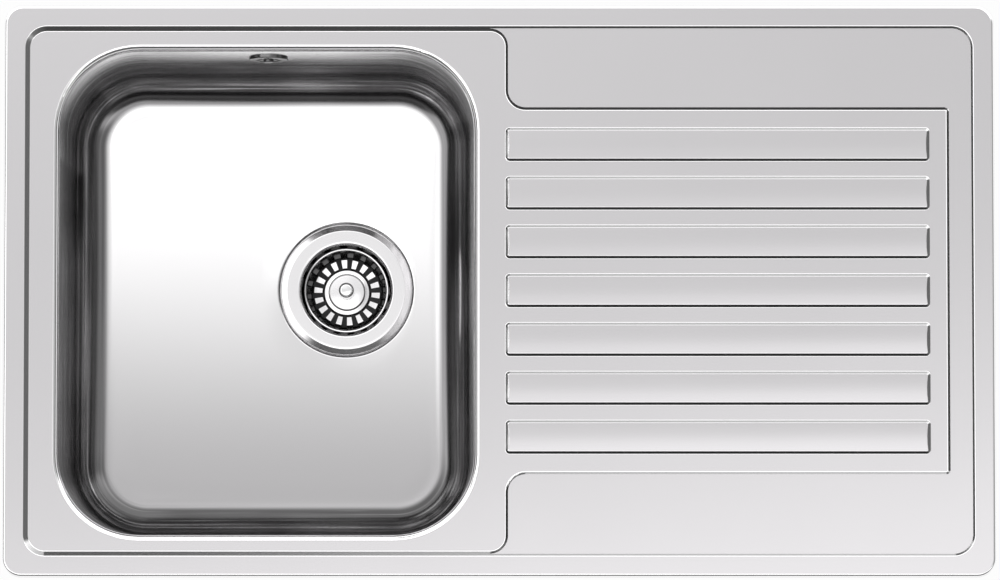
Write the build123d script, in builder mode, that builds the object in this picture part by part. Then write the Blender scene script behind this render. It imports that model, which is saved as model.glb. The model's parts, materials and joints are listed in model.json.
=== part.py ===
from build123d import *
from math import atan2, cos, degrees, radians, sin, sqrt, tan
import os

os.makedirs("parts", exist_ok=True)

# Inset kitchen sink with one bowl and a ribbed drainer, in millimetres.
# Origin: centre of the cut-out on the worktop's top face. +X runs to the drainer, +Y to the rear, +Z up.

# ---- driving dimensions -------------------------------------------------------------------------

# pressed top
top_length = 860.0
top_depth = 497.0
top_corner = 16.5
sheet = 0.8
rim_height = 4.5
rim_roll = 3.0
rim_band = 18.1
step_corner = 19.0
ledge_drop = 1.2
pan_drop = 2.6
step_slope = 60.0
step_round = 1.8

# drainer pan and its ribs
pan_from_bowl = 28.4
pan_from_step = 22.5
pan_ledge = 72.1
pan_corner = 2.6
shoulder_round = 16.5
entry_round = 14.5
rib_pitch = 42.4
rib_width = 27.0
rib_side_gap = 17.0
rib_end_gap = 16.9
rib_root = 0.5
rib_rise = 1.4
rib_crown = 0.5
rib_corner = 2.6
rib_round = 1.0
rib_foot_round = 1.2

# bowl
surround_side = 30.0
surround_front = 18.5
surround_rear = 21.3
bowl_length = 360.0
bowl_corner = 69.5
bowl_depth = 180.0
bowl_draft = 2.3
bowl_floor_round = 35.0
bowl_dish_radius = 9000.0
roll_radius = 5.5
throat_drop = 8.0

# strainer seat in the bowl
drain_from_side = 114.7
drain_from_rear = 195.1
drain_hole_radius = 45.0
seat_depth = 2.0
seat_gap = 0.5

# strainer cup
flange_radius = 58.0
flange_flat_radius = 52.5
flange_height = 3.0
mouth_radius = 40.2
mouth_roll = 2.6
cup_depth = 42.0
cup_wall = 1.0
cup_floor_round = 6.0
cup_port_radius = 24.0
cup_hub_radius = 9.0
cup_spoke_width = 5.0
cup_spoke_count = 4

# waste body under the bowl
waste_gasket = 2.0
waste_flange_radius = 56.0
waste_flange_thickness = 4.0
waste_wall = 2.6
waste_cup_gap = 3.5
waste_chamber_below = 9.0
waste_funnel_height = 15.0
waste_hub_radius = 8.0
waste_hub_length = 16.0
waste_rib_width = 4.0
waste_rib_count = 3
outlet_radius = 23.9
outlet_wall = 3.4
outlet_thread_length = 28.0
outlet_neck_length = 12.0
outlet_neck_step = 1.2
centre_screw_radius = 3.0
centre_screw_length = 22.0
centre_screw_head_radius = 6.5
centre_screw_head_height = 7.5
insert_wall = 1.6
insert_length = 14.0

# basket
soft_gap = 0.3
seal_thickness = 6.0
seal_radius = 32.0
seal_bore_gap = 1.0
seal_neck_height = 1.5
retainer_radius = 11.0
retainer_thickness = 1.2
basket_rim_radius = 36.2
basket_base_radius = 34.4
basket_height = 27.0
basket_wall = 0.8
basket_floor_round = 3.0
basket_lip = 1.1
basket_disc_radius = 20.0
basket_dome_radius = 15.8
basket_disc_rise = 1.5
basket_dome_rise = 1.2
basket_slot_count = 18
basket_slot_width = 2.5
basket_slot_rise = 13.0
basket_slot_start = 21.6
stem_radius = 3.0
stem_socket_depth = 6.0
knob_radius = 6.7
knob_neck_radius = 4.2
knob_height = 9.0
knob_neck_height = 21.0
knob_bore_depth = 26.0
running_gap = 0.05

# overflow in the rear wall of the bowl
overflow_drop = 45.0
overflow_hole_radius = 13.0
overflow_rose_radius = 17.0
overflow_rose_thickness = 2.2
overflow_rose_hole_radius = 2.1
overflow_rose_hole_count = 8
overflow_rose_hole_circle = 9.0
overflow_gasket = 2.4
overflow_body_radius = 22.0
overflow_body_depth = 23.0
overflow_body_wall = 2.2
overflow_boss_radius = 4.6
overflow_screw_radius = 2.5
overflow_screw_head_radius = 4.6
overflow_screw_head_height = 2.0
overflow_screw_grip = 16.0
nipple_radius = 9.0
nipple_wall = 1.8
nipple_length = 18.0
hose_wall = 2.2
hose_overlap = 15.0
hose_bend = 62.0
hose_clamp_width = 8.0
hose_clamp_thickness = 1.0
hose_clamp_screw_radius = 2.6
hose_clamp_screw_length = 14.0
hose_clamp_housing_length = 9.0

# seal under the rim
rim_seal_width = 8.0
rim_seal_gap = 0.2

# fixing rails and clips
rail_inset_x = 24.0
rail_inset_y = 22.5
rail_thickness = 1.0
rail_flange = 7.0
rail_drop = 16.0
rail_middle_gap = 40.0
rail_end_inset = 40.0
rail_corner_inset = 83.5
clip_screw_radius = 2.0
clip_screw_head_radius = 4.0
clip_screw_head_height = 2.8
clip_screw_slot_width = 1.0
clip_screw_slot_depth = 1.2
clip_axis_gap = 5.5
clip_plate = 1.2
clip_plate_top = 3.0
clip_width = 16.0
clip_hook_rise = 4.0
clip_lug_below = 3.0
clip_lug_reach = 4.5
clip_screw_top_below = 13.0
clip_screw_length = 40.0
clip_end_inset = 50.0
claw_boss_radius = 4.5
claw_boss_height = 8.0
claw_reach = 21.0
claw_width = 8.0
claw_thickness = 2.4
claw_tip_length = 3.0
claw_tooth_depth = 1.6
claw_tooth_pitch = 2.0
claw_rest_turn = -90.0
worktop_thickness = 40.0

# damping pads
pad_thickness = 2.5
bowl_pad_inset = 65.0
drainer_pad_inset = 35.0
pad_corner = 20.0
pad_clearance = 6.0

# ---- levels and places that follow ----------------------------------------------------------------

run = tan(radians(step_slope))
ledge_z = rim_height - ledge_drop
pan_z = rim_height - pan_drop
step_half_x = top_length / 2 - rim_band
step_half_y = top_depth / 2 - rim_band
step_mid_out = (ledge_drop + (pan_drop - ledge_drop) / 2) * run
bowl_x = bowl_length / 2 + surround_side - step_half_x
bowl_y = (surround_front - surround_rear) / 2
bowl_width = 2 * step_half_y - surround_front - surround_rear
pan_left = bowl_x + bowl_length / 2 + pan_from_bowl
pan_length = step_half_x - pan_from_step - pan_left
pan_width = 2 * (step_half_y - pan_ledge)
pan_mid_x = pan_left + pan_length / 2
rib_length = pan_length - rib_end_gap
rib_mid_x = pan_left + rib_length / 2
rib_count = 1 + int((pan_width - 2 * rib_side_gap - rib_width) / rib_pitch)
throat_z = pan_z - throat_drop
floor_z = pan_z - bowl_depth
wall_run = tan(radians(bowl_draft))

drain_x = bowl_x + bowl_length / 2 - drain_from_side
drain_y = bowl_y + bowl_width / 2 - drain_from_rear
seat_z = floor_z - seat_depth
flange_z = seat_z + flange_height
cup_floor_z = flange_z - cup_depth
cup_under_z = cup_floor_z - cup_wall
sink_under_z = seat_z - sheet
waste_top_z = sink_under_z - waste_gasket
chamber_radius = mouth_radius + cup_wall + waste_cup_gap
chamber_bottom_z = cup_under_z - waste_chamber_below
funnel_bottom_z = chamber_bottom_z - waste_funnel_height
neck_top_z = funnel_bottom_z - waste_wall
neck_bottom_z = funnel_bottom_z - outlet_neck_length
outlet_bottom_z = neck_bottom_z - outlet_thread_length
outlet_bore = outlet_radius - outlet_wall

seat_radius = flange_radius + seat_gap
seal_z = cup_floor_z + soft_gap
retainer_z = seal_z + seal_thickness + seal_neck_height
dome_z = retainer_z + retainer_thickness + soft_gap
basket_z = dome_z - basket_disc_rise - basket_dome_rise
knob_z = dome_z + basket_wall + soft_gap
stem_bottom_z = cup_floor_z + centre_screw_head_height - stem_socket_depth + soft_gap

long_rail_length = top_length / 2 - rail_middle_gap - rail_end_inset
long_rail_x = rail_middle_gap + long_rail_length / 2
short_rail_length = top_depth - 2 * rail_corner_inset
rail_face_x = top_length / 2 - rail_inset_x
rail_face_y = top_depth / 2 - rail_inset_y
clip_boss_z = -clip_screw_top_below - clip_screw_length
clip_head_z = clip_boss_z - clip_screw_head_height
clip_front_y = rail_face_y + clip_axis_gap
clip_side_x = rail_face_x + clip_axis_gap
clip_far_x = long_rail_x + long_rail_length / 2 - clip_end_inset
clip_near_x = long_rail_x - long_rail_length / 2 + clip_end_inset
clip_xs = (-clip_far_x, -clip_near_x, long_rail_x)
clip_places = [Location((x, -clip_front_y, 0), (0, 0, -90)) for x in clip_xs]
clip_places += [Location((x, clip_front_y, 0), (0, 0, 90)) for x in clip_xs]
clip_places += [Location((-clip_side_x, 0, 0), (0, 0, 180)), Location((clip_side_x, 0, 0))]

overflow_z = pan_z - overflow_drop
overflow_wall_y = bowl_y + bowl_width / 2 - (throat_z - overflow_z) * wall_run
wall_normal = Vector(0, cos(radians(bowl_draft)), -sin(radians(bowl_draft)))
wall_face = sheet * cos(radians(bowl_draft))
body_face = wall_face + overflow_gasket
body_middle = Vector(bowl_x, overflow_wall_y, overflow_z) + wall_normal * (body_face + overflow_body_depth / 2)
overflow_y = body_middle.Y
nipple_bottom_z = body_middle.Z - overflow_body_radius - nipple_length
nipple_plane = Plane(origin=(bowl_x, overflow_y, nipple_bottom_z))
hose_top_z = nipple_bottom_z + hose_overlap
inlet_z = chamber_bottom_z + nipple_radius + waste_wall
hose_run = sqrt((bowl_x - drain_x) ** 2 + (overflow_y - drain_y) ** 2)
hose_heading = Vector(drain_x - bowl_x, drain_y - overflow_y, 0).normalized()
hose_section = Plane(origin=(bowl_x, overflow_y, 0), x_dir=hose_heading, z_dir=hose_heading.cross(Vector(0, 0, 1)))
hose_end_reach = chamber_radius + waste_wall + nipple_length - hose_overlap

drain_axis = Axis((drain_x, drain_y, 0), (0, 0, 1))
drain_section = Plane(origin=(drain_x, drain_y, 0), x_dir=(1, 0, 0), z_dir=(0, -1, 0))


def drain_plane(height):
    """A level plane centred on the drain."""
    return Plane(origin=(drain_x, drain_y, height))


def wall_plane(depth):
    """The plane of the bowl's rear wall at the overflow, moved rearwards by depth."""
    return Plane(
        origin=Vector(bowl_x, overflow_wall_y, overflow_z) + wall_normal * depth,
        x_dir=(1, 0, 0),
        z_dir=wall_normal,
    )


def hose_plane(distance, height):
    """An upright plane across the hose's heading, at a distance from the overflow's nipple."""
    return Plane(origin=Vector(bowl_x, overflow_y, height) + hose_heading * distance, z_dir=hose_heading)


def inside_bowl(point):
    """Whether a point lies within the bowl's outline, roughly."""
    return abs(point.X - bowl_x) < bowl_length / 2 + 3 * sheet and abs(point.Y - bowl_y) < bowl_width / 2 + 3 * sheet


def outside_ribs(point):
    """Whether a point lies off the drainer's ribs, roughly."""
    edge_x = abs(point.X - rib_mid_x) - rib_length / 2
    edge_y = abs(point.Y) - rib_pitch * (rib_count - 1) / 2 - rib_width / 2
    return edge_x > rib_rise * run or edge_y > rib_rise * run


# ---- shapes used by more than one piece -------------------------------------------------------------


def section(points, rounds):
    """A closed section through the points, with rounds giving the radius at some of them by number."""
    with BuildSketch() as shape:
        Polygon(*points, align=None)
        for number, radius in rounds.items():
            place = Vector(points[number][0], points[number][1], 0)
            fillet(shape.vertices().sort_by_distance(place)[0], radius)
    return shape.sketch


def level_edges(part, height):
    """The edges that lie wholly at one height."""
    boxed = [(edge, edge.bounding_box()) for edge in part.edges()]
    return ShapeList([edge for edge, box in boxed if abs(box.min.Z - height) + abs(box.max.Z - height) < 0.002])


def pressed_ribs(base_z):
    """The drainer's ribs as solid bars through the level base_z, crowned across their width."""
    height = rib_rise + rib_crown + rib_root
    spread = (rib_rise / 2 + rib_root) * run
    half_width = rib_width / 2 + spread
    crown_half = (rib_width - rib_rise * run) / 2
    crown_radius = (crown_half**2 + rib_crown**2) / (2 * rib_crown)
    edge_z = base_z + rib_rise + rib_crown - crown_radius + sqrt(crown_radius**2 - half_width**2)
    offsets = [(index - (rib_count - 1) / 2) * rib_pitch for index in range(rib_count)]
    with BuildPart() as ribs:
        with BuildSketch(Plane.XY.offset(base_z - rib_root)):
            with Locations(*[(rib_mid_x, offset) for offset in offsets]):
                RectangleRounded(rib_length + 2 * spread, 2 * half_width, rib_corner + spread)
        extrude(amount=height, taper=step_slope)
        with BuildSketch(Plane.YZ.offset(rib_mid_x - rib_length)):
            for offset in offsets:
                with BuildLine():
                    start = Vector(offset - half_width, edge_z)
                    middle = Vector(offset, base_z + rib_rise + rib_crown)
                    end = Vector(offset + half_width, edge_z)
                    ThreePointArc(start, middle, end)
                    Polyline(end, (end.X, base_z - 1), (start.X, base_z - 1), start)
                make_face()
        extrude(amount=2 * rib_length, mode=Mode.INTERSECT)
        crowns = ribs.faces().filter_by(GeomType.CYLINDER).filter_by(
            lambda face: face.area > rib_width * rib_length / 2)
        fillet(crowns.edges(), rib_round)
    return ribs.part


def low_area(shrink):
    """Outline of the bowl's surround and the drainer pan, shrunk inwards as the step runs down."""
    spread = step_mid_out - shrink
    half_x = step_half_x - shrink
    half_y = step_half_y - shrink
    shoulder_x = pan_left + spread
    right_x = pan_left + pan_length + spread
    with BuildSketch() as outline:
        with Locations(((shoulder_x - half_x) / 2, 0)):
            Rectangle(shoulder_x + half_x, 2 * half_y)
        with Locations(((right_x - half_x) / 2, 0)):
            Rectangle(right_x + half_x, pan_width + 2 * spread)
        fillet(outline.vertices().group_by(Axis.X)[-1], pan_corner + spread)
        fillet(outline.vertices().group_by(Axis.X)[0], step_corner - shrink)
        fillet(outline.vertices().filter_by(lambda v: v.X > 0 and abs(v.Y) > half_y - 0.1), entry_round + spread)
        shoulders = outline.vertices().filter_by(lambda v: abs(v.X - shoulder_x) < 0.1)
        fillet(shoulders.sort_by(lambda v: abs(v.Y))[:2], shoulder_round - spread)
    return outline.sketch


def bowl_outline(outset):
    """The bowl's outline at its throat, moved outwards."""
    with BuildSketch() as outline:
        with Locations((bowl_x, bowl_y)):
            RectangleRounded(bowl_length + 2 * outset, bowl_width + 2 * outset, bowl_corner + outset)
    return outline.sketch


def pressed_form(lowering, inset):
    """All that lies under the sheet's face: the upper face at zero, the lower one a sheet further in."""
    top = rim_height - lowering
    bottom = throat_z - inset
    with BuildPart() as form:
        with BuildSketch(Plane.XY.offset(bottom)):
            RectangleRounded(top_length - 2 * inset, top_depth - 2 * inset, top_corner - inset)
        extrude(amount=top - bottom)
        fillet(form.faces().sort_by(Axis.Z)[-1].edges(), rim_roll - inset)
        with BuildSketch(Plane.XY.offset(top)):
            RectangleRounded(2 * step_half_x, 2 * step_half_y, step_corner)
        extrude(amount=-ledge_drop, taper=step_slope, mode=Mode.SUBTRACT)
        with BuildSketch(Plane.XY.offset(top - pan_drop)):
            add(low_area(pan_drop * run))
        extrude(amount=pan_drop - ledge_drop, taper=-step_slope, mode=Mode.SUBTRACT)
        add(pressed_ribs(top - pan_drop))
        with BuildSketch(Plane.XY.offset(bottom)):
            add(bowl_outline(inset))
        extrude(amount=top - bottom, mode=Mode.SUBTRACT)
        rim_edges = level_edges(form, top).filter_by(lambda edge: abs(edge.center().X) < step_half_x + 0.1)
        fillet(rim_edges.filter_by(lambda edge: abs(edge.center().Y) < step_half_y + 0.1), step_round)
        round_edges = level_edges(form, top - pan_drop)
        hole = round_edges.filter_by(lambda edge: inside_bowl(edge.center()))
        fillet(hole, roll_radius - inset)
        round_edges = level_edges(form, top - pan_drop)
        feet = round_edges.filter_by(lambda edge: abs(edge.center().Y) < pan_width / 2 - pan_corner)
        feet = feet.filter_by(lambda edge: 0 < edge.center().X < pan_left + pan_length - 4 * pan_corner)
        fillet(feet, rib_foot_round)
        round_edges = level_edges(form, top - pan_drop)
        walls = round_edges.filter_by(lambda edge: outside_ribs(edge.center()) and not inside_bowl(edge.center()))
        fillet(walls, step_round)
    return form


def bowl_form(outset):
    """The bowl as a solid body: its inner face at zero, its outer face a sheet further out."""
    with BuildPart() as form:
        with BuildSketch(Plane.XY.offset(throat_z)):
            add(bowl_outline(outset))
        extrude(amount=floor_z - throat_z - 2 * bowl_floor_round, taper=bowl_draft)
        with Locations((drain_x, drain_y, floor_z + bowl_dish_radius)):
            Sphere(bowl_dish_radius + outset, mode=Mode.INTERSECT)
        fillet(form.faces().filter_by(GeomType.SPHERE).edges(), bowl_floor_round + outset)
        slant = outset * (sqrt(2) - 1)
        with BuildSketch(drain_section):
            Polygon(
                (0, seat_z - outset),
                (seat_radius + slant, seat_z - outset),
                (seat_radius + slant + 2 * seat_depth, seat_z - outset + 2 * seat_depth),
                (0, seat_z - outset + 2 * seat_depth),
                align=None,
            )
        revolve(axis=drain_axis)
    return form


def rail(length, run_in, height):
    """An angle rail along Y: its leg's outer face at x = 0, its flange running in under the sheet."""
    with BuildPart() as shape:
        with BuildSketch(Plane.XZ):
            add(section([
                (0, height),
                (-rail_flange, height),
                (-rail_flange, height - rail_thickness),
                (-rail_thickness, height - rail_thickness),
                (-rail_thickness, -rail_drop),
                (0, -rail_drop),
            ], {3: run_in}))
        extrude(amount=length / 2, both=True)
    return shape.part


def clip_claw():
    """A claw on its screw's axis: boss, arm and a toothed tip that presses up under the worktop."""
    arm_z = clip_boss_z + claw_boss_height / 2
    with BuildPart() as shape:
        with BuildSketch(Plane.XY.offset(clip_boss_z)):
            Circle(claw_boss_radius)
        extrude(amount=claw_boss_height)
        with BuildSketch(Plane.XZ):
            add(section([
                (0, arm_z - claw_thickness),
                (claw_reach, arm_z - claw_thickness),
                (claw_reach, -worktop_thickness),
                (claw_reach - claw_tip_length, -worktop_thickness),
                (claw_reach - claw_tip_length, arm_z),
                (0, arm_z),
            ], {1: claw_thickness, 4: claw_thickness / 2}))
        extrude(amount=claw_width / 2, both=True)
        steps = (-claw_tooth_pitch, 0, claw_tooth_pitch)
        with Locations(*[(claw_reach - claw_tip_length / 2, step, -worktop_thickness) for step in steps]):
            Box(2 * claw_tip_length, claw_tooth_pitch / 2, 2 * claw_tooth_depth, mode=Mode.SUBTRACT)
        with BuildSketch(Plane.XY.offset(clip_boss_z)):
            Circle(clip_screw_radius + running_gap)
        extrude(amount=claw_boss_height, mode=Mode.SUBTRACT)
    return shape.part


def hose_clamp():
    """A hose clamp round the Z axis with its tightening screw beside the band."""
    band_radius = nipple_radius + hose_wall + hose_clamp_thickness
    housing_x = band_radius + hose_clamp_screw_radius - hose_clamp_thickness
    with BuildPart() as shape:
        Cylinder(band_radius, hose_clamp_width)
        with Locations((housing_x, 0, 0)):
            Box(2 * hose_clamp_screw_radius, hose_clamp_housing_length, hose_clamp_width)
        with Locations(Location((housing_x, 0, 0), (90, 0, 0))):
            Cylinder(hose_clamp_screw_radius, hose_clamp_screw_length)
        Cylinder(band_radius - hose_clamp_thickness, 2 * hose_clamp_width, mode=Mode.SUBTRACT)
    return shape.part


# ---- pressed top and bowl ------------------------------------------------------------------------------

with BuildPart() as drainer_top:
    add(pressed_form(0, 0).part)
    with BuildSketch(Plane.XY.offset(throat_z - 1)):
        Rectangle(2 * top_length, 2 * top_depth)
        add(bowl_outline(2 * sheet), mode=Mode.SUBTRACT)
    extrude(amount=1 - throat_z, mode=Mode.SUBTRACT)
    add(pressed_form(sheet, sheet).part, mode=Mode.SUBTRACT)
drainer_top.part.label = "drainer_top"
export_step(drainer_top.part, "parts/drainer_top.step")

with BuildPart() as bowl:
    add(bowl_form(sheet).part)
    add(bowl_form(0).part, mode=Mode.SUBTRACT)
    with BuildSketch(drain_plane(sink_under_z)):
        Circle(drain_hole_radius)
    extrude(amount=2 * seat_depth, mode=Mode.SUBTRACT)
    with BuildSketch(wall_plane(-sheet)):
        Circle(overflow_hole_radius)
    extrude(amount=3 * sheet, mode=Mode.SUBTRACT)
bowl.part.label = "bowl"
export_step(bowl.part, "parts/bowl.step")

with BuildPart() as rim_seal:
    with BuildSketch(Plane.XY):
        half_gap = sheet + rim_roll - sheet + rim_seal_gap
        RectangleRounded(top_length - 2 * half_gap, top_depth - 2 * half_gap, top_corner - half_gap)
        offset(amount=-rim_seal_width, mode=Mode.SUBTRACT)
    extrude(amount=rim_height - sheet)
rim_seal.part.label = "rim_seal"
export_step(rim_seal.part, "parts/rim_seal.step")

# ---- sound-damping pads --------------------------------------------------------------------------------

with BuildPart() as bowl_pad:
    with BuildSketch(Plane.XY.offset(floor_z - bowl_floor_round)):
        with Locations((bowl_x, bowl_y)):
            RectangleRounded(
                bowl_length - 2 * bowl_pad_inset,
                bowl_width - 2 * bowl_pad_inset,
                pad_corner,
            )
        with Locations((drain_x, drain_y)):
            Circle(seat_radius + seat_depth + pad_clearance, mode=Mode.SUBTRACT)
    extrude(amount=2 * bowl_floor_round)
    with Locations((drain_x, drain_y, floor_z + bowl_dish_radius)):
        Sphere(bowl_dish_radius + sheet + pad_thickness, mode=Mode.INTERSECT)
        Sphere(bowl_dish_radius + sheet, mode=Mode.SUBTRACT)
bowl_pad.part.label = "bowl_pad"
export_step(bowl_pad.part, "parts/bowl_pad.step")

with BuildPart() as drainer_pad:
    with BuildSketch(Plane.XY.offset(pan_z - sheet - pad_thickness)):
        with Locations((pan_mid_x, 0)):
            RectangleRounded(
                pan_length - 2 * drainer_pad_inset,
                pan_width - 2 * drainer_pad_inset,
                pad_corner,
            )
    extrude(amount=pad_thickness)
drainer_pad.part.label = "drainer_pad"
export_step(drainer_pad.part, "parts/drainer_pad.step")

# ---- fixing rails and clips ----------------------------------------------------------------------------

with BuildPart() as rail_front_left:
    with Locations(Location((-long_rail_x, -rail_face_y, 0), (0, 0, -90))):
        add(rail(long_rail_length, rail_thickness / 2, pan_z - sheet))
rail_front_left.part.label = "rail_front_left"
export_step(rail_front_left.part, "parts/rail_front_left.step")

with BuildPart() as rail_front_right:
    with Locations(Location((long_rail_x, -rail_face_y, 0), (0, 0, -90))):
        add(rail(long_rail_length, rail_thickness / 2, ledge_z - sheet))
rail_front_right.part.label = "rail_front_right"
export_step(rail_front_right.part, "parts/rail_front_right.step")

with BuildPart() as rail_rear_left:
    with Locations(Location((-long_rail_x, rail_face_y, 0), (0, 0, 90))):
        add(rail(long_rail_length, rail_thickness / 2, pan_z - sheet))
rail_rear_left.part.label = "rail_rear_left"
export_step(rail_rear_left.part, "parts/rail_rear_left.step")

with BuildPart() as rail_rear_right:
    with Locations(Location((long_rail_x, rail_face_y, 0), (0, 0, 90))):
        add(rail(long_rail_length, rail_thickness / 2, ledge_z - sheet))
rail_rear_right.part.label = "rail_rear_right"
export_step(rail_rear_right.part, "parts/rail_rear_right.step")

with BuildPart() as rail_left:
    with Locations(Location((-rail_face_x, 0, 0), (0, 0, 180))):
        add(rail(short_rail_length, rail_thickness / 2, pan_z - sheet))
rail_left.part.label = "rail_left"
export_step(rail_left.part, "parts/rail_left.step")

with BuildPart() as rail_right:
    with Locations((rail_face_x, 0, 0)):
        add(rail(short_rail_length, rail_thickness / 2, ledge_z - sheet))
rail_right.part.label = "rail_right"
export_step(rail_right.part, "parts/rail_right.step")

with BuildPart() as clip_bracket:
    leg = -clip_axis_gap
    hook_bottom = -rail_drop - clip_plate
    lug_bottom = hook_bottom - clip_lug_below
    with BuildSketch(Plane.XZ):
        add(section([
            (leg + clip_plate, -clip_plate_top),
            (leg, -clip_plate_top),
            (leg, -rail_drop),
            (leg - rail_thickness, -rail_drop),
            (leg - rail_thickness, -rail_drop + clip_hook_rise),
            (leg - rail_thickness - clip_plate, -rail_drop + clip_hook_rise),
            (leg - rail_thickness - clip_plate, hook_bottom),
            (leg, hook_bottom),
            (leg, lug_bottom),
            (clip_lug_reach, lug_bottom),
            (clip_lug_reach, lug_bottom + clip_plate),
            (leg + clip_plate, lug_bottom + clip_plate),
        ], {6: clip_plate / 2, 8: clip_plate / 2}))
    extrude(amount=clip_width / 2, both=True)
    with BuildSketch(Plane.XY.offset(lug_bottom)):
        Circle(clip_screw_radius + running_gap)
    extrude(amount=clip_plate, mode=Mode.SUBTRACT)

with BuildPart() as clip_brackets:
    with Locations(*clip_places):
        add(clip_bracket.part)
clip_brackets.part.label = "clip_brackets"
export_step(clip_brackets.part, "parts/clip_brackets.step")

for number, place in enumerate(clip_places, 1):
    with BuildPart() as clip_screw:
        with BuildSketch(Plane.XY.offset(clip_head_z)):
            Circle(clip_screw_head_radius)
        extrude(amount=clip_screw_head_height)
        chamfer(clip_screw.faces().sort_by(Axis.Z)[0].edges(), clip_screw_slot_depth / 3)
        with BuildSketch(Plane.XY.offset(clip_boss_z)):
            Circle(clip_screw_radius)
        extrude(amount=clip_screw_length)
        chamfer(clip_screw.faces().sort_by(Axis.Z)[-1].edges(), clip_screw_radius / 4)
        with BuildSketch(Plane.XY.offset(clip_head_z)):
            Rectangle(3 * clip_screw_head_radius, clip_screw_slot_width)
        extrude(amount=clip_screw_slot_depth, mode=Mode.SUBTRACT)
    placed_screw = place * clip_screw.part
    placed_screw.label = f"clip_screw_{number}"
    export_step(placed_screw, f"parts/clip_screw_{number}.step")

# Until the sink is in its cut-out the claws lie along its edge; they swing out under the worktop.
for number, place in enumerate(clip_places, 1):
    with BuildPart() as claw:
        with Locations(place * Location((0, 0, 0), (0, 0, claw_rest_turn))):
            add(clip_claw())
    claw.part.label = f"claw_{number}"
    export_step(claw.part, f"parts/claw_{number}.step")

# ---- strainer cup, gaskets and waste body --------------------------------------------------------------

with BuildPart() as strainer_cup:
    bevel = flange_height / (flange_radius - flange_flat_radius)
    under_step = cup_wall / sin(atan2(bevel, 1))
    with BuildSketch(drain_section):
        add(section([
            (flange_radius, seat_z),
            (flange_flat_radius, flange_z),
            (mouth_radius, flange_z),
            (mouth_radius, cup_floor_z),
            (0, cup_floor_z),
            (0, cup_under_z),
            (mouth_radius + cup_wall, cup_under_z),
            (mouth_radius + cup_wall, flange_z - cup_wall),
            (flange_flat_radius + cup_wall / bevel - under_step, flange_z - cup_wall),
            (flange_radius - under_step, seat_z),
        ], {
            1: flange_height,
            2: mouth_roll,
            3: cup_floor_round,
            6: cup_floor_round + cup_wall,
            7: mouth_roll - cup_wall,
        }))
    revolve(axis=drain_axis)
    with BuildSketch(drain_plane(cup_under_z)) as port:
        Circle(cup_port_radius)
        Circle(cup_hub_radius, mode=Mode.SUBTRACT)
        with PolarLocations(cup_port_radius / 2, cup_spoke_count):
            Rectangle(cup_port_radius + cup_wall, cup_spoke_width, mode=Mode.SUBTRACT)
        fillet(port.vertices(), cup_spoke_width / 4)
        Circle(centre_screw_radius + running_gap)
    extrude(amount=cup_wall, mode=Mode.SUBTRACT)
strainer_cup.part.label = "strainer_cup"
export_step(strainer_cup.part, "parts/strainer_cup.step")

with BuildPart() as flange_gasket:
    with BuildSketch(drain_plane(seat_z)):
        Circle(flange_flat_radius - soft_gap)
        Circle(drain_hole_radius + soft_gap, mode=Mode.SUBTRACT)
    extrude(amount=flange_height - cup_wall)
flange_gasket.part.label = "flange_gasket"
export_step(flange_gasket.part, "parts/flange_gasket.step")

with BuildPart() as waste_gasket_ring:
    with BuildSketch(drain_plane(waste_top_z)):
        Circle(waste_flange_radius)
        Circle(chamber_radius, mode=Mode.SUBTRACT)
    extrude(amount=waste_gasket)
waste_gasket_ring.part.label = "waste_gasket"
export_step(waste_gasket_ring.part, "parts/waste_gasket.step")

with BuildPart() as waste_cavity:
    with BuildSketch(drain_section):
        add(section([
            (0, waste_top_z),
            (chamber_radius, waste_top_z),
            (chamber_radius, chamber_bottom_z),
            (outlet_bore, funnel_bottom_z),
            (outlet_bore, outlet_bottom_z),
            (0, outlet_bottom_z),
        ], {2: waste_cup_gap}))
    revolve(axis=drain_axis)
    with BuildSketch(drain_plane(chamber_bottom_z)):
        Circle(waste_hub_radius)
        with PolarLocations(chamber_radius / 2, waste_rib_count, start_angle=30):
            Rectangle(chamber_radius, waste_rib_width)
    extrude(amount=-waste_hub_length, mode=Mode.SUBTRACT)

with BuildPart() as waste_body:
    with BuildSketch(drain_section):
        add(section([
            (0, waste_top_z),
            (waste_flange_radius, waste_top_z),
            (waste_flange_radius, waste_top_z - waste_flange_thickness),
            (chamber_radius + waste_wall, waste_top_z - waste_flange_thickness),
            (chamber_radius + waste_wall, chamber_bottom_z),
            (outlet_radius + outlet_neck_step, neck_top_z),
            (0, neck_top_z),
        ], {3: waste_wall, 4: waste_cup_gap + waste_wall}))
    revolve(axis=drain_axis)
    with BuildSketch(hose_plane(hose_run - chamber_radius, inlet_z)):
        Circle(nipple_radius)
    extrude(amount=-nipple_length - waste_wall)
    add(waste_cavity.part, mode=Mode.SUBTRACT)
    with BuildSketch(drain_plane(chamber_bottom_z - waste_hub_length)):
        Circle(centre_screw_radius + insert_wall)
    extrude(amount=waste_hub_length, mode=Mode.SUBTRACT)
    with BuildSketch(hose_plane(hose_run - chamber_radius + waste_wall, inlet_z)):
        Circle(nipple_radius - nipple_wall)
    extrude(amount=-nipple_length - 3 * waste_wall, mode=Mode.SUBTRACT)
waste_body.part.label = "waste_body"
export_step(waste_body.part, "parts/waste_body.step")

with BuildPart() as outlet_tail:
    with BuildSketch(drain_section):
        add(section([
            (0, neck_top_z),
            (outlet_radius + outlet_neck_step, neck_top_z),
            (outlet_radius + outlet_neck_step, neck_bottom_z),
            (outlet_radius, neck_bottom_z),
            (outlet_radius, outlet_bottom_z),
            (0, outlet_bottom_z),
        ], {}))
    revolve(axis=drain_axis)
    chamfer(outlet_tail.faces().sort_by(Axis.Z)[0].edges(), waste_wall / 3)
    with BuildSketch(drain_plane(neck_top_z)):
        Circle(outlet_bore)
    extrude(amount=outlet_bottom_z - neck_top_z, mode=Mode.SUBTRACT)
outlet_tail.part.label = "outlet_tail"
export_step(outlet_tail.part, "parts/outlet_tail.step")

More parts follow.
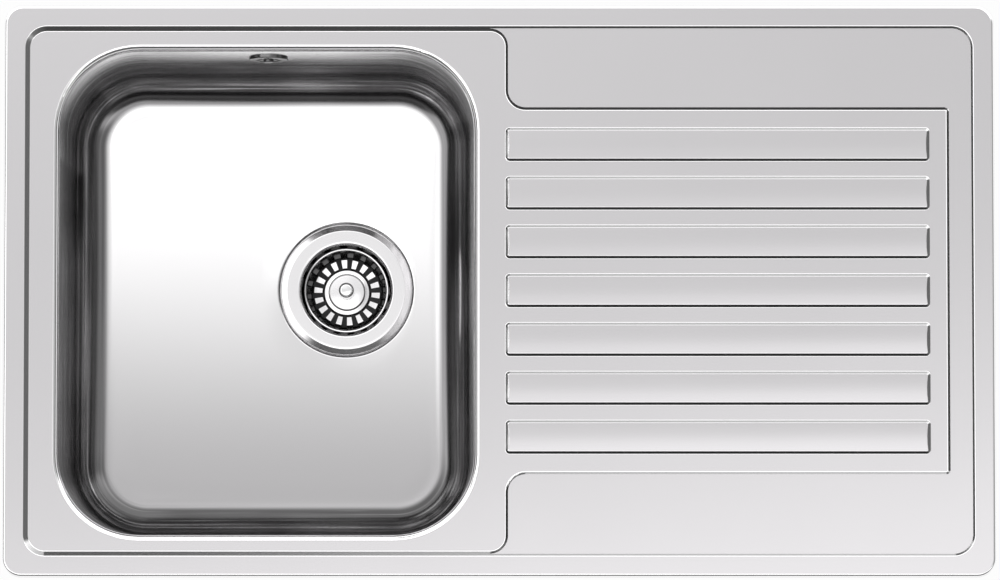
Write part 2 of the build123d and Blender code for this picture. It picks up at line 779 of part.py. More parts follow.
with BuildPart() as screw_insert:
    with BuildSketch(drain_plane(chamber_bottom_z)):
        Circle(centre_screw_radius + insert_wall)
        Circle(centre_screw_radius, mode=Mode.SUBTRACT)
    extrude(amount=-insert_length)
screw_insert.part.label = "screw_insert"
export_step(screw_insert.part, "parts/screw_insert.step")

with BuildPart() as centre_screw:
    with BuildSketch(drain_plane(cup_floor_z)):
        Circle(centre_screw_head_radius)
    extrude(amount=centre_screw_head_height)
    chamfer(centre_screw.faces().sort_by(Axis.Z)[-1].edges(), centre_screw_radius / 4)
    with BuildSketch(drain_plane(cup_floor_z)):
        Circle(centre_screw_radius)
    extrude(amount=-centre_screw_length)
    chamfer(centre_screw.faces().sort_by(Axis.Z)[0].edges(), centre_screw_radius / 4)
    with BuildSketch(drain_plane(cup_floor_z + centre_screw_head_height)):
        Circle(stem_radius + running_gap)
    extrude(amount=-stem_socket_depth, mode=Mode.SUBTRACT)
centre_screw.part.label = "centre_screw"
export_step(centre_screw.part, "parts/centre_screw.step")

# ---- basket --------------------------------------------------------------------------------------------

with BuildPart() as basket_seal:
    neck_z = seal_z + seal_thickness + seal_neck_height
    bore = centre_screw_head_radius + seal_bore_gap
    with BuildSketch(drain_section):
        add(section([
            (bore, seal_z),
            (seal_radius, seal_z),
            (seal_radius, seal_z + seal_thickness),
            (retainer_radius, seal_z + seal_thickness),
            (retainer_radius, neck_z),
            (bore, neck_z),
        ], {1: seal_thickness / 2, 2: seal_thickness / 4}))
    revolve(axis=drain_axis)
basket_seal.part.label = "basket_seal"
export_step(basket_seal.part, "parts/basket_seal.step")

with BuildPart() as seal_retainer:
    with BuildSketch(drain_plane(retainer_z)):
        Circle(retainer_radius)
        Circle(stem_radius, mode=Mode.SUBTRACT)
    extrude(amount=retainer_thickness)
seal_retainer.part.label = "seal_retainer"
export_step(seal_retainer.part, "parts/seal_retainer.step")

with BuildPart() as basket_cup:
    disc_z = basket_z + basket_disc_rise
    rim_z = basket_z + basket_height
    inner_base = basket_base_radius - basket_wall
    with BuildSketch(drain_section):
        add(section([
            (0, dome_z),
            (basket_dome_radius, dome_z),
            (basket_dome_radius + basket_dome_rise, disc_z),
            (basket_disc_radius, disc_z),
            (basket_disc_radius + basket_disc_rise, basket_z),
            (basket_base_radius, basket_z),
            (basket_rim_radius, rim_z - basket_wall),
            (basket_rim_radius + basket_lip, rim_z - basket_wall),
            (basket_rim_radius + basket_lip, rim_z),
            (basket_rim_radius - basket_wall, rim_z),
            (inner_base, basket_z + basket_wall),
            (basket_disc_radius + basket_disc_rise, basket_z + basket_wall),
            (basket_disc_radius, disc_z + basket_wall),
            (basket_dome_radius + basket_dome_rise, disc_z + basket_wall),
            (basket_dome_radius, dome_z + basket_wall),
            (0, dome_z + basket_wall),
        ], {5: basket_floor_round + basket_wall, 10: basket_floor_round, 9: basket_wall / 2}))
    revolve(axis=drain_axis)
    slot_reach = basket_rim_radius + 2 * basket_lip
    with BuildSketch(drain_plane(basket_z)):
        with PolarLocations((basket_slot_start + slot_reach) / 2, basket_slot_count):
            Rectangle(slot_reach - basket_slot_start, basket_slot_width)
        with PolarLocations(basket_slot_start, basket_slot_count):
            Circle(basket_slot_width / 2)
    extrude(amount=basket_slot_rise, mode=Mode.SUBTRACT)
    with BuildSketch(drain_plane(basket_z)):
        Circle(stem_radius + running_gap)
    extrude(amount=basket_height, mode=Mode.SUBTRACT)
basket_cup.part.label = "basket_cup"
export_step(basket_cup.part, "parts/basket_cup.step")

with BuildPart() as basket_stem:
    with BuildSketch(drain_plane(stem_bottom_z)):
        Circle(stem_radius)
    extrude(amount=knob_z + knob_bore_depth - stem_bottom_z)
    chamfer(basket_stem.edges(), stem_radius / 4)
basket_stem.part.label = "basket_stem"
export_step(basket_stem.part, "parts/basket_stem.step")

with BuildPart() as basket_knob:
    head_z = knob_z + knob_neck_height
    with BuildSketch(drain_section):
        add(section([
            (0, knob_z),
            (knob_neck_radius, knob_z),
            (knob_neck_radius, head_z - knob_neck_radius),
            (knob_radius, head_z),
            (knob_radius, head_z + knob_height),
            (0, head_z + knob_height),
        ], {2: knob_neck_radius, 3: knob_radius / 4, 4: knob_radius / 3}))
    revolve(axis=drain_axis)
    with BuildSketch(drain_plane(knob_z)):
        Circle(stem_radius)
    extrude(amount=knob_bore_depth, mode=Mode.SUBTRACT)
basket_knob.part.label = "basket_knob"
export_step(basket_knob.part, "parts/basket_knob.step")

# ---- overflow ------------------------------------------------------------------------------------------

with BuildPart() as overflow_rose:
    with BuildSketch(wall_plane(0)):
        Circle(overflow_rose_radius)
        Circle(overflow_screw_radius + running_gap, mode=Mode.SUBTRACT)
        with PolarLocations(overflow_rose_hole_circle, overflow_rose_hole_count):
            Circle(overflow_rose_hole_radius, mode=Mode.SUBTRACT)
    extrude(amount=-overflow_rose_thickness)
    fillet(overflow_rose.edges().filter_by(GeomType.CIRCLE).sort_by(Edge.length)[-2:].sort_by(Axis.Y)[0],
           overflow_rose_thickness / 2)
overflow_rose.part.label = "overflow_rose"
export_step(overflow_rose.part, "parts/overflow_rose.step")

with BuildPart() as overflow_screw:
    with BuildSketch(wall_plane(-overflow_rose_thickness)):
        Circle(overflow_screw_head_radius)
    extrude(amount=-overflow_screw_head_height)
    fillet(overflow_screw.faces().sort_by(Axis.Y)[0].edges(), overflow_screw_head_height / 2)
    with BuildSketch(wall_plane(-overflow_rose_thickness)):
        Circle(overflow_screw_radius)
    extrude(amount=overflow_rose_thickness + wall_face + overflow_gasket + overflow_screw_grip)
overflow_screw.part.label = "overflow_screw"
export_step(overflow_screw.part, "parts/overflow_screw.step")

with BuildPart() as overflow_gasket_ring:
    with BuildSketch(wall_plane(wall_face)):
        Circle(overflow_body_radius)
        Circle(overflow_hole_radius, mode=Mode.SUBTRACT)
    extrude(amount=overflow_gasket)
overflow_gasket_ring.part.label = "overflow_gasket"
export_step(overflow_gasket_ring.part, "parts/overflow_gasket.step")

with BuildPart() as overflow_body:
    with BuildSketch(wall_plane(body_face)):
        Circle(overflow_body_radius)
    extrude(amount=overflow_body_depth)
    fillet(overflow_body.faces().sort_by(Axis.Y)[-1].edges(), overflow_body_wall)
    with BuildSketch(nipple_plane):
        Circle(nipple_radius)
    extrude(amount=nipple_length + overflow_body_radius / 2)
    with BuildSketch(wall_plane(body_face)):
        Circle(overflow_body_radius - overflow_body_wall)
        Circle(overflow_boss_radius, mode=Mode.SUBTRACT)
    extrude(amount=overflow_body_depth - overflow_body_wall, mode=Mode.SUBTRACT)
    with BuildSketch(nipple_plane):
        Circle(nipple_radius - nipple_wall)
    extrude(amount=nipple_length + overflow_body_radius / 2, mode=Mode.SUBTRACT)
    with BuildSketch(wall_plane(body_face)):
        Circle(overflow_screw_radius)
    extrude(amount=overflow_screw_grip + overflow_body_wall, mode=Mode.SUBTRACT)
overflow_body.part.label = "overflow_body"
export_step(overflow_body.part, "parts/overflow_body.step")

with BuildPart() as overflow_hose:
    with BuildLine(hose_section) as hose_path:
        drop = Line((0, hose_top_z), (0, inlet_z + hose_bend))
        bend = CenterArc((hose_bend, inlet_z + hose_bend), hose_bend, 180, 90)
        Line(bend @ 1, (hose_run - hose_end_reach, inlet_z))
    with BuildSketch(Plane(origin=(bowl_x, overflow_y, hose_top_z))):
        Circle(nipple_radius + hose_wall)
        Circle(nipple_radius, mode=Mode.SUBTRACT)
    sweep(path=hose_path.line)
overflow_hose.part.label = "overflow_hose"
export_step(overflow_hose.part, "parts/overflow_hose.step")

with BuildPart() as hose_clamp_top:
    with Locations(Location((bowl_x, overflow_y, hose_top_z - hose_overlap / 2), (0, 0, 90))):
        add(hose_clamp())
hose_clamp_top.part.label = "hose_clamp_top"
export_step(hose_clamp_top.part, "parts/hose_clamp_top.step")

with BuildPart() as hose_clamp_bottom:
    with Locations(hose_plane(hose_run - hose_end_reach - hose_overlap / 2, inlet_z).location):
        add(hose_clamp())
hose_clamp_bottom.part.label = "hose_clamp_bottom"
export_step(hose_clamp_bottom.part, "parts/hose_clamp_bottom.step")
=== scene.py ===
# %% [markdown]
# # A kitchen sink with a drainboard, dressed for the camera
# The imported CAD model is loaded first, as a fixed frame. Every piece made below sits on it, in metres,
# with +X towards the drainboard, +Y to the rear and z = 0 on the worktop. No CAD node stays in view.
# Where its shape is right already, a smooth copy takes its place, and elsewhere a new or more detailed
# piece does.

# %% Load the frame
import json
from math import atan2, cos, hypot, pi, radians, sin, tan

import bmesh
import bpy
from bmesh.types import BMEdge, BMVert
from mathutils import Matrix, Vector

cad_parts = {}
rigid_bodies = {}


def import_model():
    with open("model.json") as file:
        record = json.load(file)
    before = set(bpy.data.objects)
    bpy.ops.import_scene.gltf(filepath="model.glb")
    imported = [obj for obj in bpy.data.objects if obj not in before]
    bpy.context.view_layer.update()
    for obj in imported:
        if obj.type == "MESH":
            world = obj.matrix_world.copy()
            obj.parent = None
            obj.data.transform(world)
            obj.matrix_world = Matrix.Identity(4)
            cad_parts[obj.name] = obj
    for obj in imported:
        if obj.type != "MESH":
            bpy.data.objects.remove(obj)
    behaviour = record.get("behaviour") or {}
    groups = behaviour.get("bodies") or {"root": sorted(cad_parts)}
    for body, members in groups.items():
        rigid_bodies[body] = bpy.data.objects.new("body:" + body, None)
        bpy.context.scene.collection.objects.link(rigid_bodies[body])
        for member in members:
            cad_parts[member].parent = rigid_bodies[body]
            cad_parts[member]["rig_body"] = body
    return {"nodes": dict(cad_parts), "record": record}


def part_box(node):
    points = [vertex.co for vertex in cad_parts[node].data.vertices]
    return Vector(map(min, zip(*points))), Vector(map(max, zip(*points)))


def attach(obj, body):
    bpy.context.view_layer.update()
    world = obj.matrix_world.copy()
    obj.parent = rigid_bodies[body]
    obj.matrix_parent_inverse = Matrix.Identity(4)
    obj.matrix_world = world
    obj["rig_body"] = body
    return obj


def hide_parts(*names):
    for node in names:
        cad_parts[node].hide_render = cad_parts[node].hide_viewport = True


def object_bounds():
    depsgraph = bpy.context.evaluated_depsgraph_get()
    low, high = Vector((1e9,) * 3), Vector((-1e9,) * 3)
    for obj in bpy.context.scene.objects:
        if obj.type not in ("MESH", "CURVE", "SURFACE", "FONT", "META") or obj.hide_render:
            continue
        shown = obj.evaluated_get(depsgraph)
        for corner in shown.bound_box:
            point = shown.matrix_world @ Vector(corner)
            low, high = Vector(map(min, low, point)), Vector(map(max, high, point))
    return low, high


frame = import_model()
cad_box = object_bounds()
nodes = frame["nodes"]

# %% [markdown]
# ## The camera
# The photograph looks almost straight down, from a place far away and about four degrees in front of
# the plumb line. A near camera with a wide lens would splay the drainer's lines. A long lens from six
# metres keeps them parallel, so only the bowl shows its walls.

# %% Camera
TIP = radians(4.3)
DISTANCE = 6.0
TARGET = Vector((0.00074, 0.0003, 0.0033))
SENSOR_WIDTH = 36.0
FOCAL_LENGTH = 249.2
SEES_TO = 50.0

camera_data = bpy.data.cameras.new("sink_camera")
camera_data.sensor_width = SENSOR_WIDTH
camera_data.lens = FOCAL_LENGTH
camera_data.clip_end = SEES_TO
camera = bpy.data.objects.new("sink_camera", camera_data)
camera.location = TARGET + DISTANCE * Vector((0, -sin(TIP), cos(TIP)))
camera.rotation_euler = (TIP, 0, 0)
bpy.context.scene.collection.objects.link(camera)
bpy.context.scene.camera = camera
bpy.context.scene.view_settings.view_transform = "Standard"
print("camera at", [round(value, 3) for value in camera.location])

# %% [markdown]
# ## Shader maths as plain expressions
# A material is a graph of nodes. Two small classes keep the graph readable: `Signal` wraps a number
# that varies over the surface, so that + - * / and powers on it add Math nodes, and `Finish` holds one
# material and makes any other node from its type, its settings and its inputs.

# %% Numbers that vary over a surface
class Signal:
    """A number that changes over the surface; arithmetic on it adds Math nodes."""

    def __init__(self, finish, socket):
        self.finish = finish
        self.socket = socket

    def maths(self, operation, *terms):
        return self.finish.signal("ShaderNodeMath", {"operation": operation}, dict(enumerate(terms)))

    def __add__(self, other):
        return self.maths("ADD", self, other)

    def __sub__(self, other):
        return self.maths("SUBTRACT", self, other)

    def __rsub__(self, other):
        return self.maths("SUBTRACT", other, self)

    def __mul__(self, other):
        return self.maths("MULTIPLY", self, other)

    def __truediv__(self, other):
        return self.maths("DIVIDE", self, other)

    def __pow__(self, other):
        return self.maths("POWER", self, other)

    __radd__ = __add__
    __rmul__ = __mul__


print("Signal adds Math nodes")

# %% Materials and their nodes
COLOUR_A, COLOUR_B, COLOUR_OUT = 6, 7, 2


class Finish:
    """One material or sky: its node tree, its shader and a method that makes any node."""

    def __init__(self, name, tree=None):
        if tree is None:
            self.material = bpy.data.materials.new(name)
            self.material.use_nodes = True
            tree = self.material.node_tree
        self.tree = tree
        self.shader = self.found("BSDF_PRINCIPLED")

    def found(self, kind):
        """The tree's own node of a type, if it has one."""
        return next((node for node in self.tree.nodes if node.type == kind), None)

    def node(self, kind, settings=None, inputs=None):
        """A new node: first its settings, then the values or links of its sockets."""
        made = self.tree.nodes.new(kind)
        for name, value in (settings or {}).items():
            setattr(made, name, value)
        for place, value in (inputs or {}).items():
            self.feed(made.inputs[place], value)
        return made

    def feed(self, socket, value):
        """Gives a socket a link or a plain value."""
        if isinstance(value, Signal):
            self.tree.links.new(value.socket, socket)
        elif isinstance(value, bpy.types.NodeSocket):
            self.tree.links.new(value, socket)
        elif isinstance(value, tuple) and socket.type == "RGBA":
            socket.default_value = (*value, 1.0)
        else:
            socket.default_value = value

    def signal(self, kind, settings=None, inputs=None, output=0):
        return Signal(self, self.node(kind, settings, inputs).outputs[output])

    def axes(self, coordinate="Object"):
        """The x, y and z of a texture coordinate."""
        source = self.node("ShaderNodeTexCoord").outputs[coordinate]
        parts = self.node("ShaderNodeSeparateXYZ", None, {0: source}).outputs
        return [Signal(self, part) for part in parts]

    def grains(self, mapped, detail):
        """Noise over the vector that a node gives."""
        inputs = {"Vector": mapped.outputs[0], "Scale": 1.0, "Detail": detail}
        return self.signal("ShaderNodeTexNoise", None, inputs)

    def noise(self, stretch, detail=3.0):
        """Noise whose grains per metre are given along each axis."""
        inputs = {"Vector": self.node("ShaderNodeTexCoord").outputs["Object"], "Scale": stretch}
        return self.grains(self.node("ShaderNodeMapping", None, inputs), detail)

    def ramp(self, value, start, stop):
        """0 at start and 1 at stop, with soft ends."""
        ends = {"Value": value, "From Min": start, "From Max": stop, "To Min": 0.0, "To Max": 1.0}
        return self.signal("ShaderNodeMapRange", {"interpolation_type": "SMOOTHSTEP"}, ends)

    def band(self, value, rise, fall):
        """1 between a rise and a fall, each given by its start and stop."""
        return self.ramp(value, *rise) * self.ramp(value, *fall)

    def blend(self, factor, first, second):
        """The first colour where the factor is 0, the second where it is 1."""
        inputs = {"Factor": factor, COLOUR_A: first, COLOUR_B: second}
        return self.node("ShaderNodeMix", {"data_type": "RGBA"}, inputs).outputs[COLOUR_OUT]

    def mixed(self, factor, first, second):
        """The first shader where the factor is 0, the second where it is 1."""
        inputs = {"Fac": factor, 1: first.outputs[0], 2: second.outputs[0]}
        return self.node("ShaderNodeMixShader", None, inputs)

    def bump(self, height, distance):
        inputs = {"Height": height, "Distance": distance, "Strength": 1.0}
        self.feed(self.shader.inputs["Normal"], self.node("ShaderNodeBump", None, inputs).outputs[0])

    def set(self, **values):
        """Feeds the shader's own sockets, named with _ for a space."""
        for name, value in values.items():
            self.feed(self.shader.inputs[name.replace("_", " ")], value)


print("Finish makes every other node")

# %% [markdown]
# ## Steel
# The sink is one pressed sheet and one drawn bowl of the same steel, with a fine satin grain. The grain
# is far too small to see as lines from six metres, so it shows as a soft gloss whose strength wanders a
# little. Noise gives it without a picture file and never repeats. Metal takes its colour from what it
# mirrors, so the studio round it matters as much as the shader.

# %% Satin steel
CLOUDS = (9, 9, 9)
CLOUD_DETAIL = 4.0
CLOUD_SHADE = 0.965
LEAST_ROUGH = 0.92
ROUGH_SPREAD = 0.16


def satin_steel(name, tint, rough, grains, depth):
    """Steel with its grains per metre and their depth, clouded a little in colour and gloss."""
    finish = Finish(name)
    grain = finish.noise(grains)
    cloud = finish.noise(CLOUDS, CLOUD_DETAIL)
    darker = tuple(CLOUD_SHADE * channel for channel in tint)
    finish.tint = finish.blend(cloud, darker, tint)
    finish.set(Base_Color=finish.tint, Metallic=1.0)
    finish.set(Roughness=rough * LEAST_ROUGH + grain * (rough * ROUGH_SPREAD))
    finish.bump(grain, depth)
    return finish


ZINC_TINT = (0.66, 0.675, 0.66)

zinc_plate = satin_steel("zinc_plate", ZINC_TINT, rough=0.36, grains=(300, 300, 300), depth=0.000004)
print("satin steel ready, first used as", zinc_plate.material.name)

# %% [markdown]
# ## The pressed sheet's steel
# Wherever the surface tips away from level the steel is made a little brighter, a painted highlight along
# the bends of the sheet. Upright parts, which are the outer edge and the roll into the bowl, are painted
# dark as shade, apart from the roll at the bowl's front. The way the surface faces tells bends and
# upright parts apart, and the place on the object finds the front.

# %% Sheet steel
LEVEL_TO_BENT = (0.9985, 0.99)
SLOPE_TO_UPRIGHT = (0.40, 0.15)
BEHIND_FRONT_ROLL = (-0.19, -0.15)
BEFORE_FRONT_ROLL = (-0.243, -0.246)
SHEET_TINT = (0.665, 0.652, 0.665)
# painted highlight: the bends are brighter than the level sheet
BEND_HIGHLIGHT_TINT = (0.98, 0.975, 0.98)
# painted shade: upright parts darker than the sheet
UPRIGHT_SHADE_TINT = (0.20, 0.198, 0.20)

sheet_steel = satin_steel("pressed_sheet", SHEET_TINT, rough=0.125,
                          grains=(60, 2600, 2600), depth=0.000002)
facing_up = sheet_steel.axes("Normal")[2]
back = sheet_steel.axes()[1]
# painted highlight on the bends of the sheet
bent = sheet_steel.ramp(facing_up, *LEVEL_TO_BENT)
not_front = sheet_steel.ramp(back, *BEHIND_FRONT_ROLL) + sheet_steel.ramp(back, *BEFORE_FRONT_ROLL)
# painted shade on the upright parts, left out at the bowl's front roll
upright = sheet_steel.ramp(facing_up, *SLOPE_TO_UPRIGHT) * not_front
bend_highlights = sheet_steel.blend(bent, sheet_steel.tint, BEND_HIGHLIGHT_TINT)
sheet_steel.set(Base_Color=sheet_steel.blend(upright, bend_highlights, UPRIGHT_SHADE_TINT))
print("bends brightened to", BEND_HIGHLIGHT_TINT[0], "upright parts darkened to", UPRIGHT_SHADE_TINT[0])

# %% [markdown]
# ## The strainer's polished steel
# Strainer, basket and knob are polished, but they stand in a deep hole whose folds mirror one another
# and stay dark. A flat tint would mirror the bright sky there. Painting on an image would need a
# picture, so the steel darkens by its place on the object: below the flange inside the cup, at certain
# distances from the drain's axis in the basket's folds, and on the upright side of the knob.

# %% Cup and knob steel
CUP_TINT = (0.86, 0.85, 0.86)
KNOB_TINT = (0.90, 0.90, 0.905)
BELOW_FLANGE = (-0.1785, -0.186)
INSIDE_CUP_SHADE_TINT = (0.08, 0.079, 0.08)
KNOB_SIDE = (0.55, 0.30)
KNOB_SIDE_SHADE_TINT = (0.04, 0.04, 0.04)

polished_steel = satin_steel("polished_steel", CUP_TINT, rough=0.13,
                             grains=(900, 900, 900), depth=0.000001)
# painted shade: the cup's inside below the flange is darkened
inside_cup = polished_steel.ramp(polished_steel.axes()[2], *BELOW_FLANGE)
polished_steel.set(Base_Color=polished_steel.blend(inside_cup, polished_steel.tint, INSIDE_CUP_SHADE_TINT))
knob_chrome = satin_steel("knob_chrome", KNOB_TINT, rough=0.06, grains=(500, 500, 500), depth=0.0000005)
# painted shade on the knob's upright side
knob_side = knob_chrome.ramp(knob_chrome.axes("Normal")[2], *KNOB_SIDE)
knob_chrome.set(Base_Color=knob_chrome.blend(knob_side, knob_chrome.tint, KNOB_SIDE_SHADE_TINT))
print("cup darkens below", BELOW_FLANGE[0])

# %% Basket steel
BASKET_TINT = (0.88, 0.87, 0.88)
BELOW_LIP = (-0.1875, -0.1885)
RING_CREASE = ((0.0196, 0.0200), (0.0224, 0.0219))
WALL_CREASE = (0.0291, 0.0297)
PLATE_EDGE = ((0.0149, 0.0153), (0.0168, 0.0163))
PLATE_EDGE_DARK = 0.55
NEARER = (0.002, -0.010)
NEARER_DARK = 0.40
CREASE_DARK = 0.93
CREASE_SHADE_TINT = (0.02, 0.02, 0.02)

basket_steel = satin_steel("basket_steel", BASKET_TINT, rough=0.16,
                           grains=(900, 900, 900), depth=0.000001)
drain_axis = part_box("basket_knob")[0].lerp(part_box("basket_knob")[1], 0.5)
spot = basket_steel.axes()
off_x, off_y = spot[0] - drain_axis[0], spot[1] - drain_axis[1]
off_axis = (off_x * off_x + off_y * off_y) ** 0.5
# painted shade in the basket's folds and round the raised plate, darker on its near side
crease_shade = basket_steel.band(off_axis, *RING_CREASE)
crease_shade = crease_shade + basket_steel.ramp(off_axis, *WALL_CREASE) * basket_steel.ramp(spot[2], *BELOW_LIP)
plate_edge = basket_steel.band(off_axis, *PLATE_EDGE)
crease_shade = crease_shade + plate_edge * (PLATE_EDGE_DARK + basket_steel.ramp(off_y, *NEARER) * NEARER_DARK)
basket_steel.set(Base_Color=basket_steel.blend(crease_shade * CREASE_DARK, basket_steel.tint, CREASE_SHADE_TINT))
print("drain's axis at", [round(value, 4) for value in drain_axis[:2]])

# %% [markdown]
# ## The drawn bowl's steel
# Drawing drags the sheet over the die, which leaves faint bands that run level round the walls. The bands
# drawn here are also painted reflections of the room's streaks, on walls painted darker than the floor as
# shade. They follow the wall, not the room, so the bowl's mesh carries an attribute, the distance up the
# wall from the floor, and the bands are noise stretched along it. The foot of the walls is painted dark
# as shade, and the floor is painted lighter towards the rear, a painted gradient of light. Two marks are
# placed: a painted dark reflection on the left wall and a painted bright reflection high on the rear
# wall. A second attribute marks the bowl's outside, which is never polished, so its bands are faint.

# %% Bands on the bowl's walls
BOWL_TINT = (0.97, 0.963, 0.97)
BROAD_BANDS, BROAD_DETAIL = (1.6, 1.6, 110), 2.0
FINE_STREAKS, STREAK_DETAIL = (5.0, 5.0, 420), 3.0
BLOTCHES, BLOTCH_DETAIL = (9, 7, 16), 2.0
BAND_SHARE, STREAK_SHARE, BLOTCH_SHARE = 0.35, 0.3, 0.35
BAND_EDGES = (0.42, 0.60)

bowl_steel = satin_steel("drawn_bowl", BOWL_TINT, rough=0.18, grains=(1500, 1500, 1500), depth=0.0000015)
climb = bowl_steel.signal("ShaderNodeAttribute", {"attribute_name": "climb"}, None, "Fac")
outside = bowl_steel.signal("ShaderNodeAttribute", {"attribute_name": "outside"}, None, "Fac")
right, back = bowl_steel.axes()[:2]


def wall_noise(stretch, detail):
    """Noise over the place on the bowl, with the way up the wall as its third axis."""
    inputs = dict(enumerate(way * scale for way, scale in zip((right, back, climb), stretch)))
    return bowl_steel.grains(bowl_steel.node("ShaderNodeCombineXYZ", None, inputs), detail)


bands = wall_noise(BROAD_BANDS, BROAD_DETAIL)
streaks = wall_noise(FINE_STREAKS, STREAK_DETAIL)
blotches = bowl_steel.noise(BLOTCHES, BLOTCH_DETAIL)
mingled = bands * BAND_SHARE + streaks * STREAK_SHARE + blotches * BLOTCH_SHARE
# painted reflections: level noise bands, over faint drawing marks
reflected_banding = bowl_steel.ramp(mingled, *BAND_EDGES)
print("bands from", len(bowl_steel.tree.nodes), "nodes")

# %% Tints of the bowl's walls, with their painted shade and painted reflections
DARK_REFLECTED_BAND, BRIGHT_REFLECTED_BAND = (0.20, 0.198, 0.20), (0.80, 0.793, 0.80)
DARK_REFLECTION_RIGHT = (-0.335, -0.345)
DARK_REFLECTION_BACK = ((0.025, 0.075), (0.120, 0.112))
DARK_REFLECTION_FOOT = (0.030, 0.040)
DARK_REFLECTION_TINT, DARK_REFLECTION_STRENGTH = (0.03, 0.03, 0.03), 0.85
REFLECTED_LINES, REFLECTED_LINE_STRENGTH = (0.60, 0.70), 0.75
REFLECTED_LIGHT_TINT = (0.95, 0.945, 0.95)
FOOT, FOOT_STRENGTH = (0.030, 0.018), 0.85
FOOT_SHADE_TINT, FRONT_FOOT_SHADE_TINT = (0.225, 0.221, 0.225), (0.06, 0.059, 0.06)
TO_FRONT = (-0.125, -0.175)
BRIGHT_REFLECTION_RIGHT = ((-0.33, -0.22), (-0.06, -0.15))
BRIGHT_REFLECTION_BACK = (0.17, 0.2)
BRIGHT_REFLECTION_CLIMB = (0.12, 0.155)

# the walls are painted darker than the floor as shade, banded with painted reflections
wall_tint = bowl_steel.blend(reflected_banding, DARK_REFLECTED_BAND, BRIGHT_REFLECTED_BAND)
# painted dark reflection on the left wall
dark_reflection = bowl_steel.ramp(right, *DARK_REFLECTION_RIGHT) * bowl_steel.band(back, *DARK_REFLECTION_BACK)
dark_reflection = dark_reflection * bowl_steel.ramp(climb, *DARK_REFLECTION_FOOT)
wall_tint = bowl_steel.blend(dark_reflection * DARK_REFLECTION_STRENGTH, wall_tint, DARK_REFLECTION_TINT)
# painted reflections: bright lines along the finest streaks
reflected_lines = bowl_steel.ramp(streaks, *REFLECTED_LINES) * REFLECTED_LINE_STRENGTH
wall_tint = bowl_steel.blend(reflected_lines, wall_tint, REFLECTED_LIGHT_TINT)
# painted shade at the foot of the walls, darkest at the front
foot_shade = bowl_steel.blend(bowl_steel.ramp(back, *TO_FRONT), FOOT_SHADE_TINT, FRONT_FOOT_SHADE_TINT)
wall_tint = bowl_steel.blend(bowl_steel.ramp(climb, *FOOT) * FOOT_STRENGTH, wall_tint, foot_shade)
# painted bright reflection high on the rear wall
bright_reflection = bowl_steel.ramp(back, *BRIGHT_REFLECTION_BACK) * bowl_steel.ramp(climb, *BRIGHT_REFLECTION_CLIMB)
bright_reflection = bright_reflection * bowl_steel.band(right, *BRIGHT_REFLECTION_RIGHT)
wall_tint = bowl_steel.blend(bright_reflection, wall_tint, REFLECTED_LIGHT_TINT)
print("wall bands between", DARK_REFLECTED_BAND[0], "and", BRIGHT_REFLECTED_BAND[0])

# %% Floor and outside of the bowl
FRONT_FLOOR_SHADE_TINT = (0.47, 0.463, 0.47)
FLOOR_TO_REAR = (-0.175, 0.085)
FLOOR_TO_WALL = (0.006, 0.013)
OUTSIDE_DARK, OUTSIDE_BRIGHT = (0.42, 0.414, 0.42), (0.56, 0.552, 0.56)

# painted light: the floor darker at the front and lighter towards the rear
floor_light_gradient = bowl_steel.blend(bowl_steel.ramp(back, *FLOOR_TO_REAR), FRONT_FLOOR_SHADE_TINT, bowl_steel.tint)
inside_tint = bowl_steel.blend(bowl_steel.ramp(climb, *FLOOR_TO_WALL), floor_light_gradient, wall_tint)
outside_tint = bowl_steel.blend(reflected_banding, OUTSIDE_DARK, OUTSIDE_BRIGHT)
bowl_steel.set(Base_Color=bowl_steel.blend(outside, inside_tint, outside_tint))
print("bowl finish ready")

# %% [markdown]
# ## Rubber, plastic, brass and damping pads
# The hidden pieces are seen from below: dark rubber, white moulded plastic with a faint texture, a
# brass insert and the crinkled bitumen pads that keep the sheet from ringing. One function covers them
# all, because they differ only in colour, gloss and grain.

# %% Other finishes
GRAIN_DETAIL = 4.0
HOLLOW_SHADE = 0.86
HOLLOW_ROUGHNESS = 0.12


def moulded(name, colour, rough, size, depth, metallic=0.0):
    """A finish with one grain, of a size and depth, which shades, dulls and dents the surface."""
    finish = Finish(name)
    grain = finish.noise((1 / size,) * 3, GRAIN_DETAIL)
    shade = tuple(HOLLOW_SHADE * channel for channel in colour)
    finish.set(Base_Color=finish.blend(grain, shade, colour), Metallic=metallic)
    finish.set(Roughness=rough + grain * HOLLOW_ROUGHNESS)
    finish.bump(grain, depth)
    return finish


finish_of_slot = {
    "sheet_steel": sheet_steel,
    "bowl_steel": bowl_steel,
    "polished_steel": polished_steel,
    "basket_steel": basket_steel,
    "knob_chrome": knob_chrome,
    "zinc_plated_steel": zinc_plate,
    "insert_brass": moulded("insert_brass", (0.75, 0.55, 0.26), rough=0.25, size=0.0009,
                            depth=0.000005, metallic=1.0),
    "dark_rubber": moulded("dark_rubber", (0.025, 0.025, 0.027), rough=0.6, size=0.0006, depth=0.00003),
    "seal_foam": moulded("seal_foam", (0.045, 0.045, 0.05), rough=0.8, size=0.0008, depth=0.0001),
    "white_plastic": moulded("white_plastic", (0.80, 0.80, 0.79), rough=0.38, size=0.0009, depth=0.00001),
    "hose_plastic": moulded("hose_plastic", (0.70, 0.71, 0.71), rough=0.42, size=0.0009, depth=0.00001),
    "damping_pad": moulded("damping_pad", (0.10, 0.10, 0.105), rough=0.75, size=0.003, depth=0.0002),
}
slot_of = {entry["node"]: entry["material_slot"] for entry in frame["record"]["subparts"]}
print("finishes:", len(finish_of_slot), "slots in use:", sorted(set(slot_of.values())))

# %% [markdown]
# ## Putting a mesh in its place
# Every new piece goes through one helper. It makes the object, gives it the finish of the nodes that it
# stands for, and lets it ride on their body. Smooth shading turns evenly over bends while sharp edges
# stay sharp. A CAD node's mesh is loose triangles, so a copy of one is merged before it is worked on.

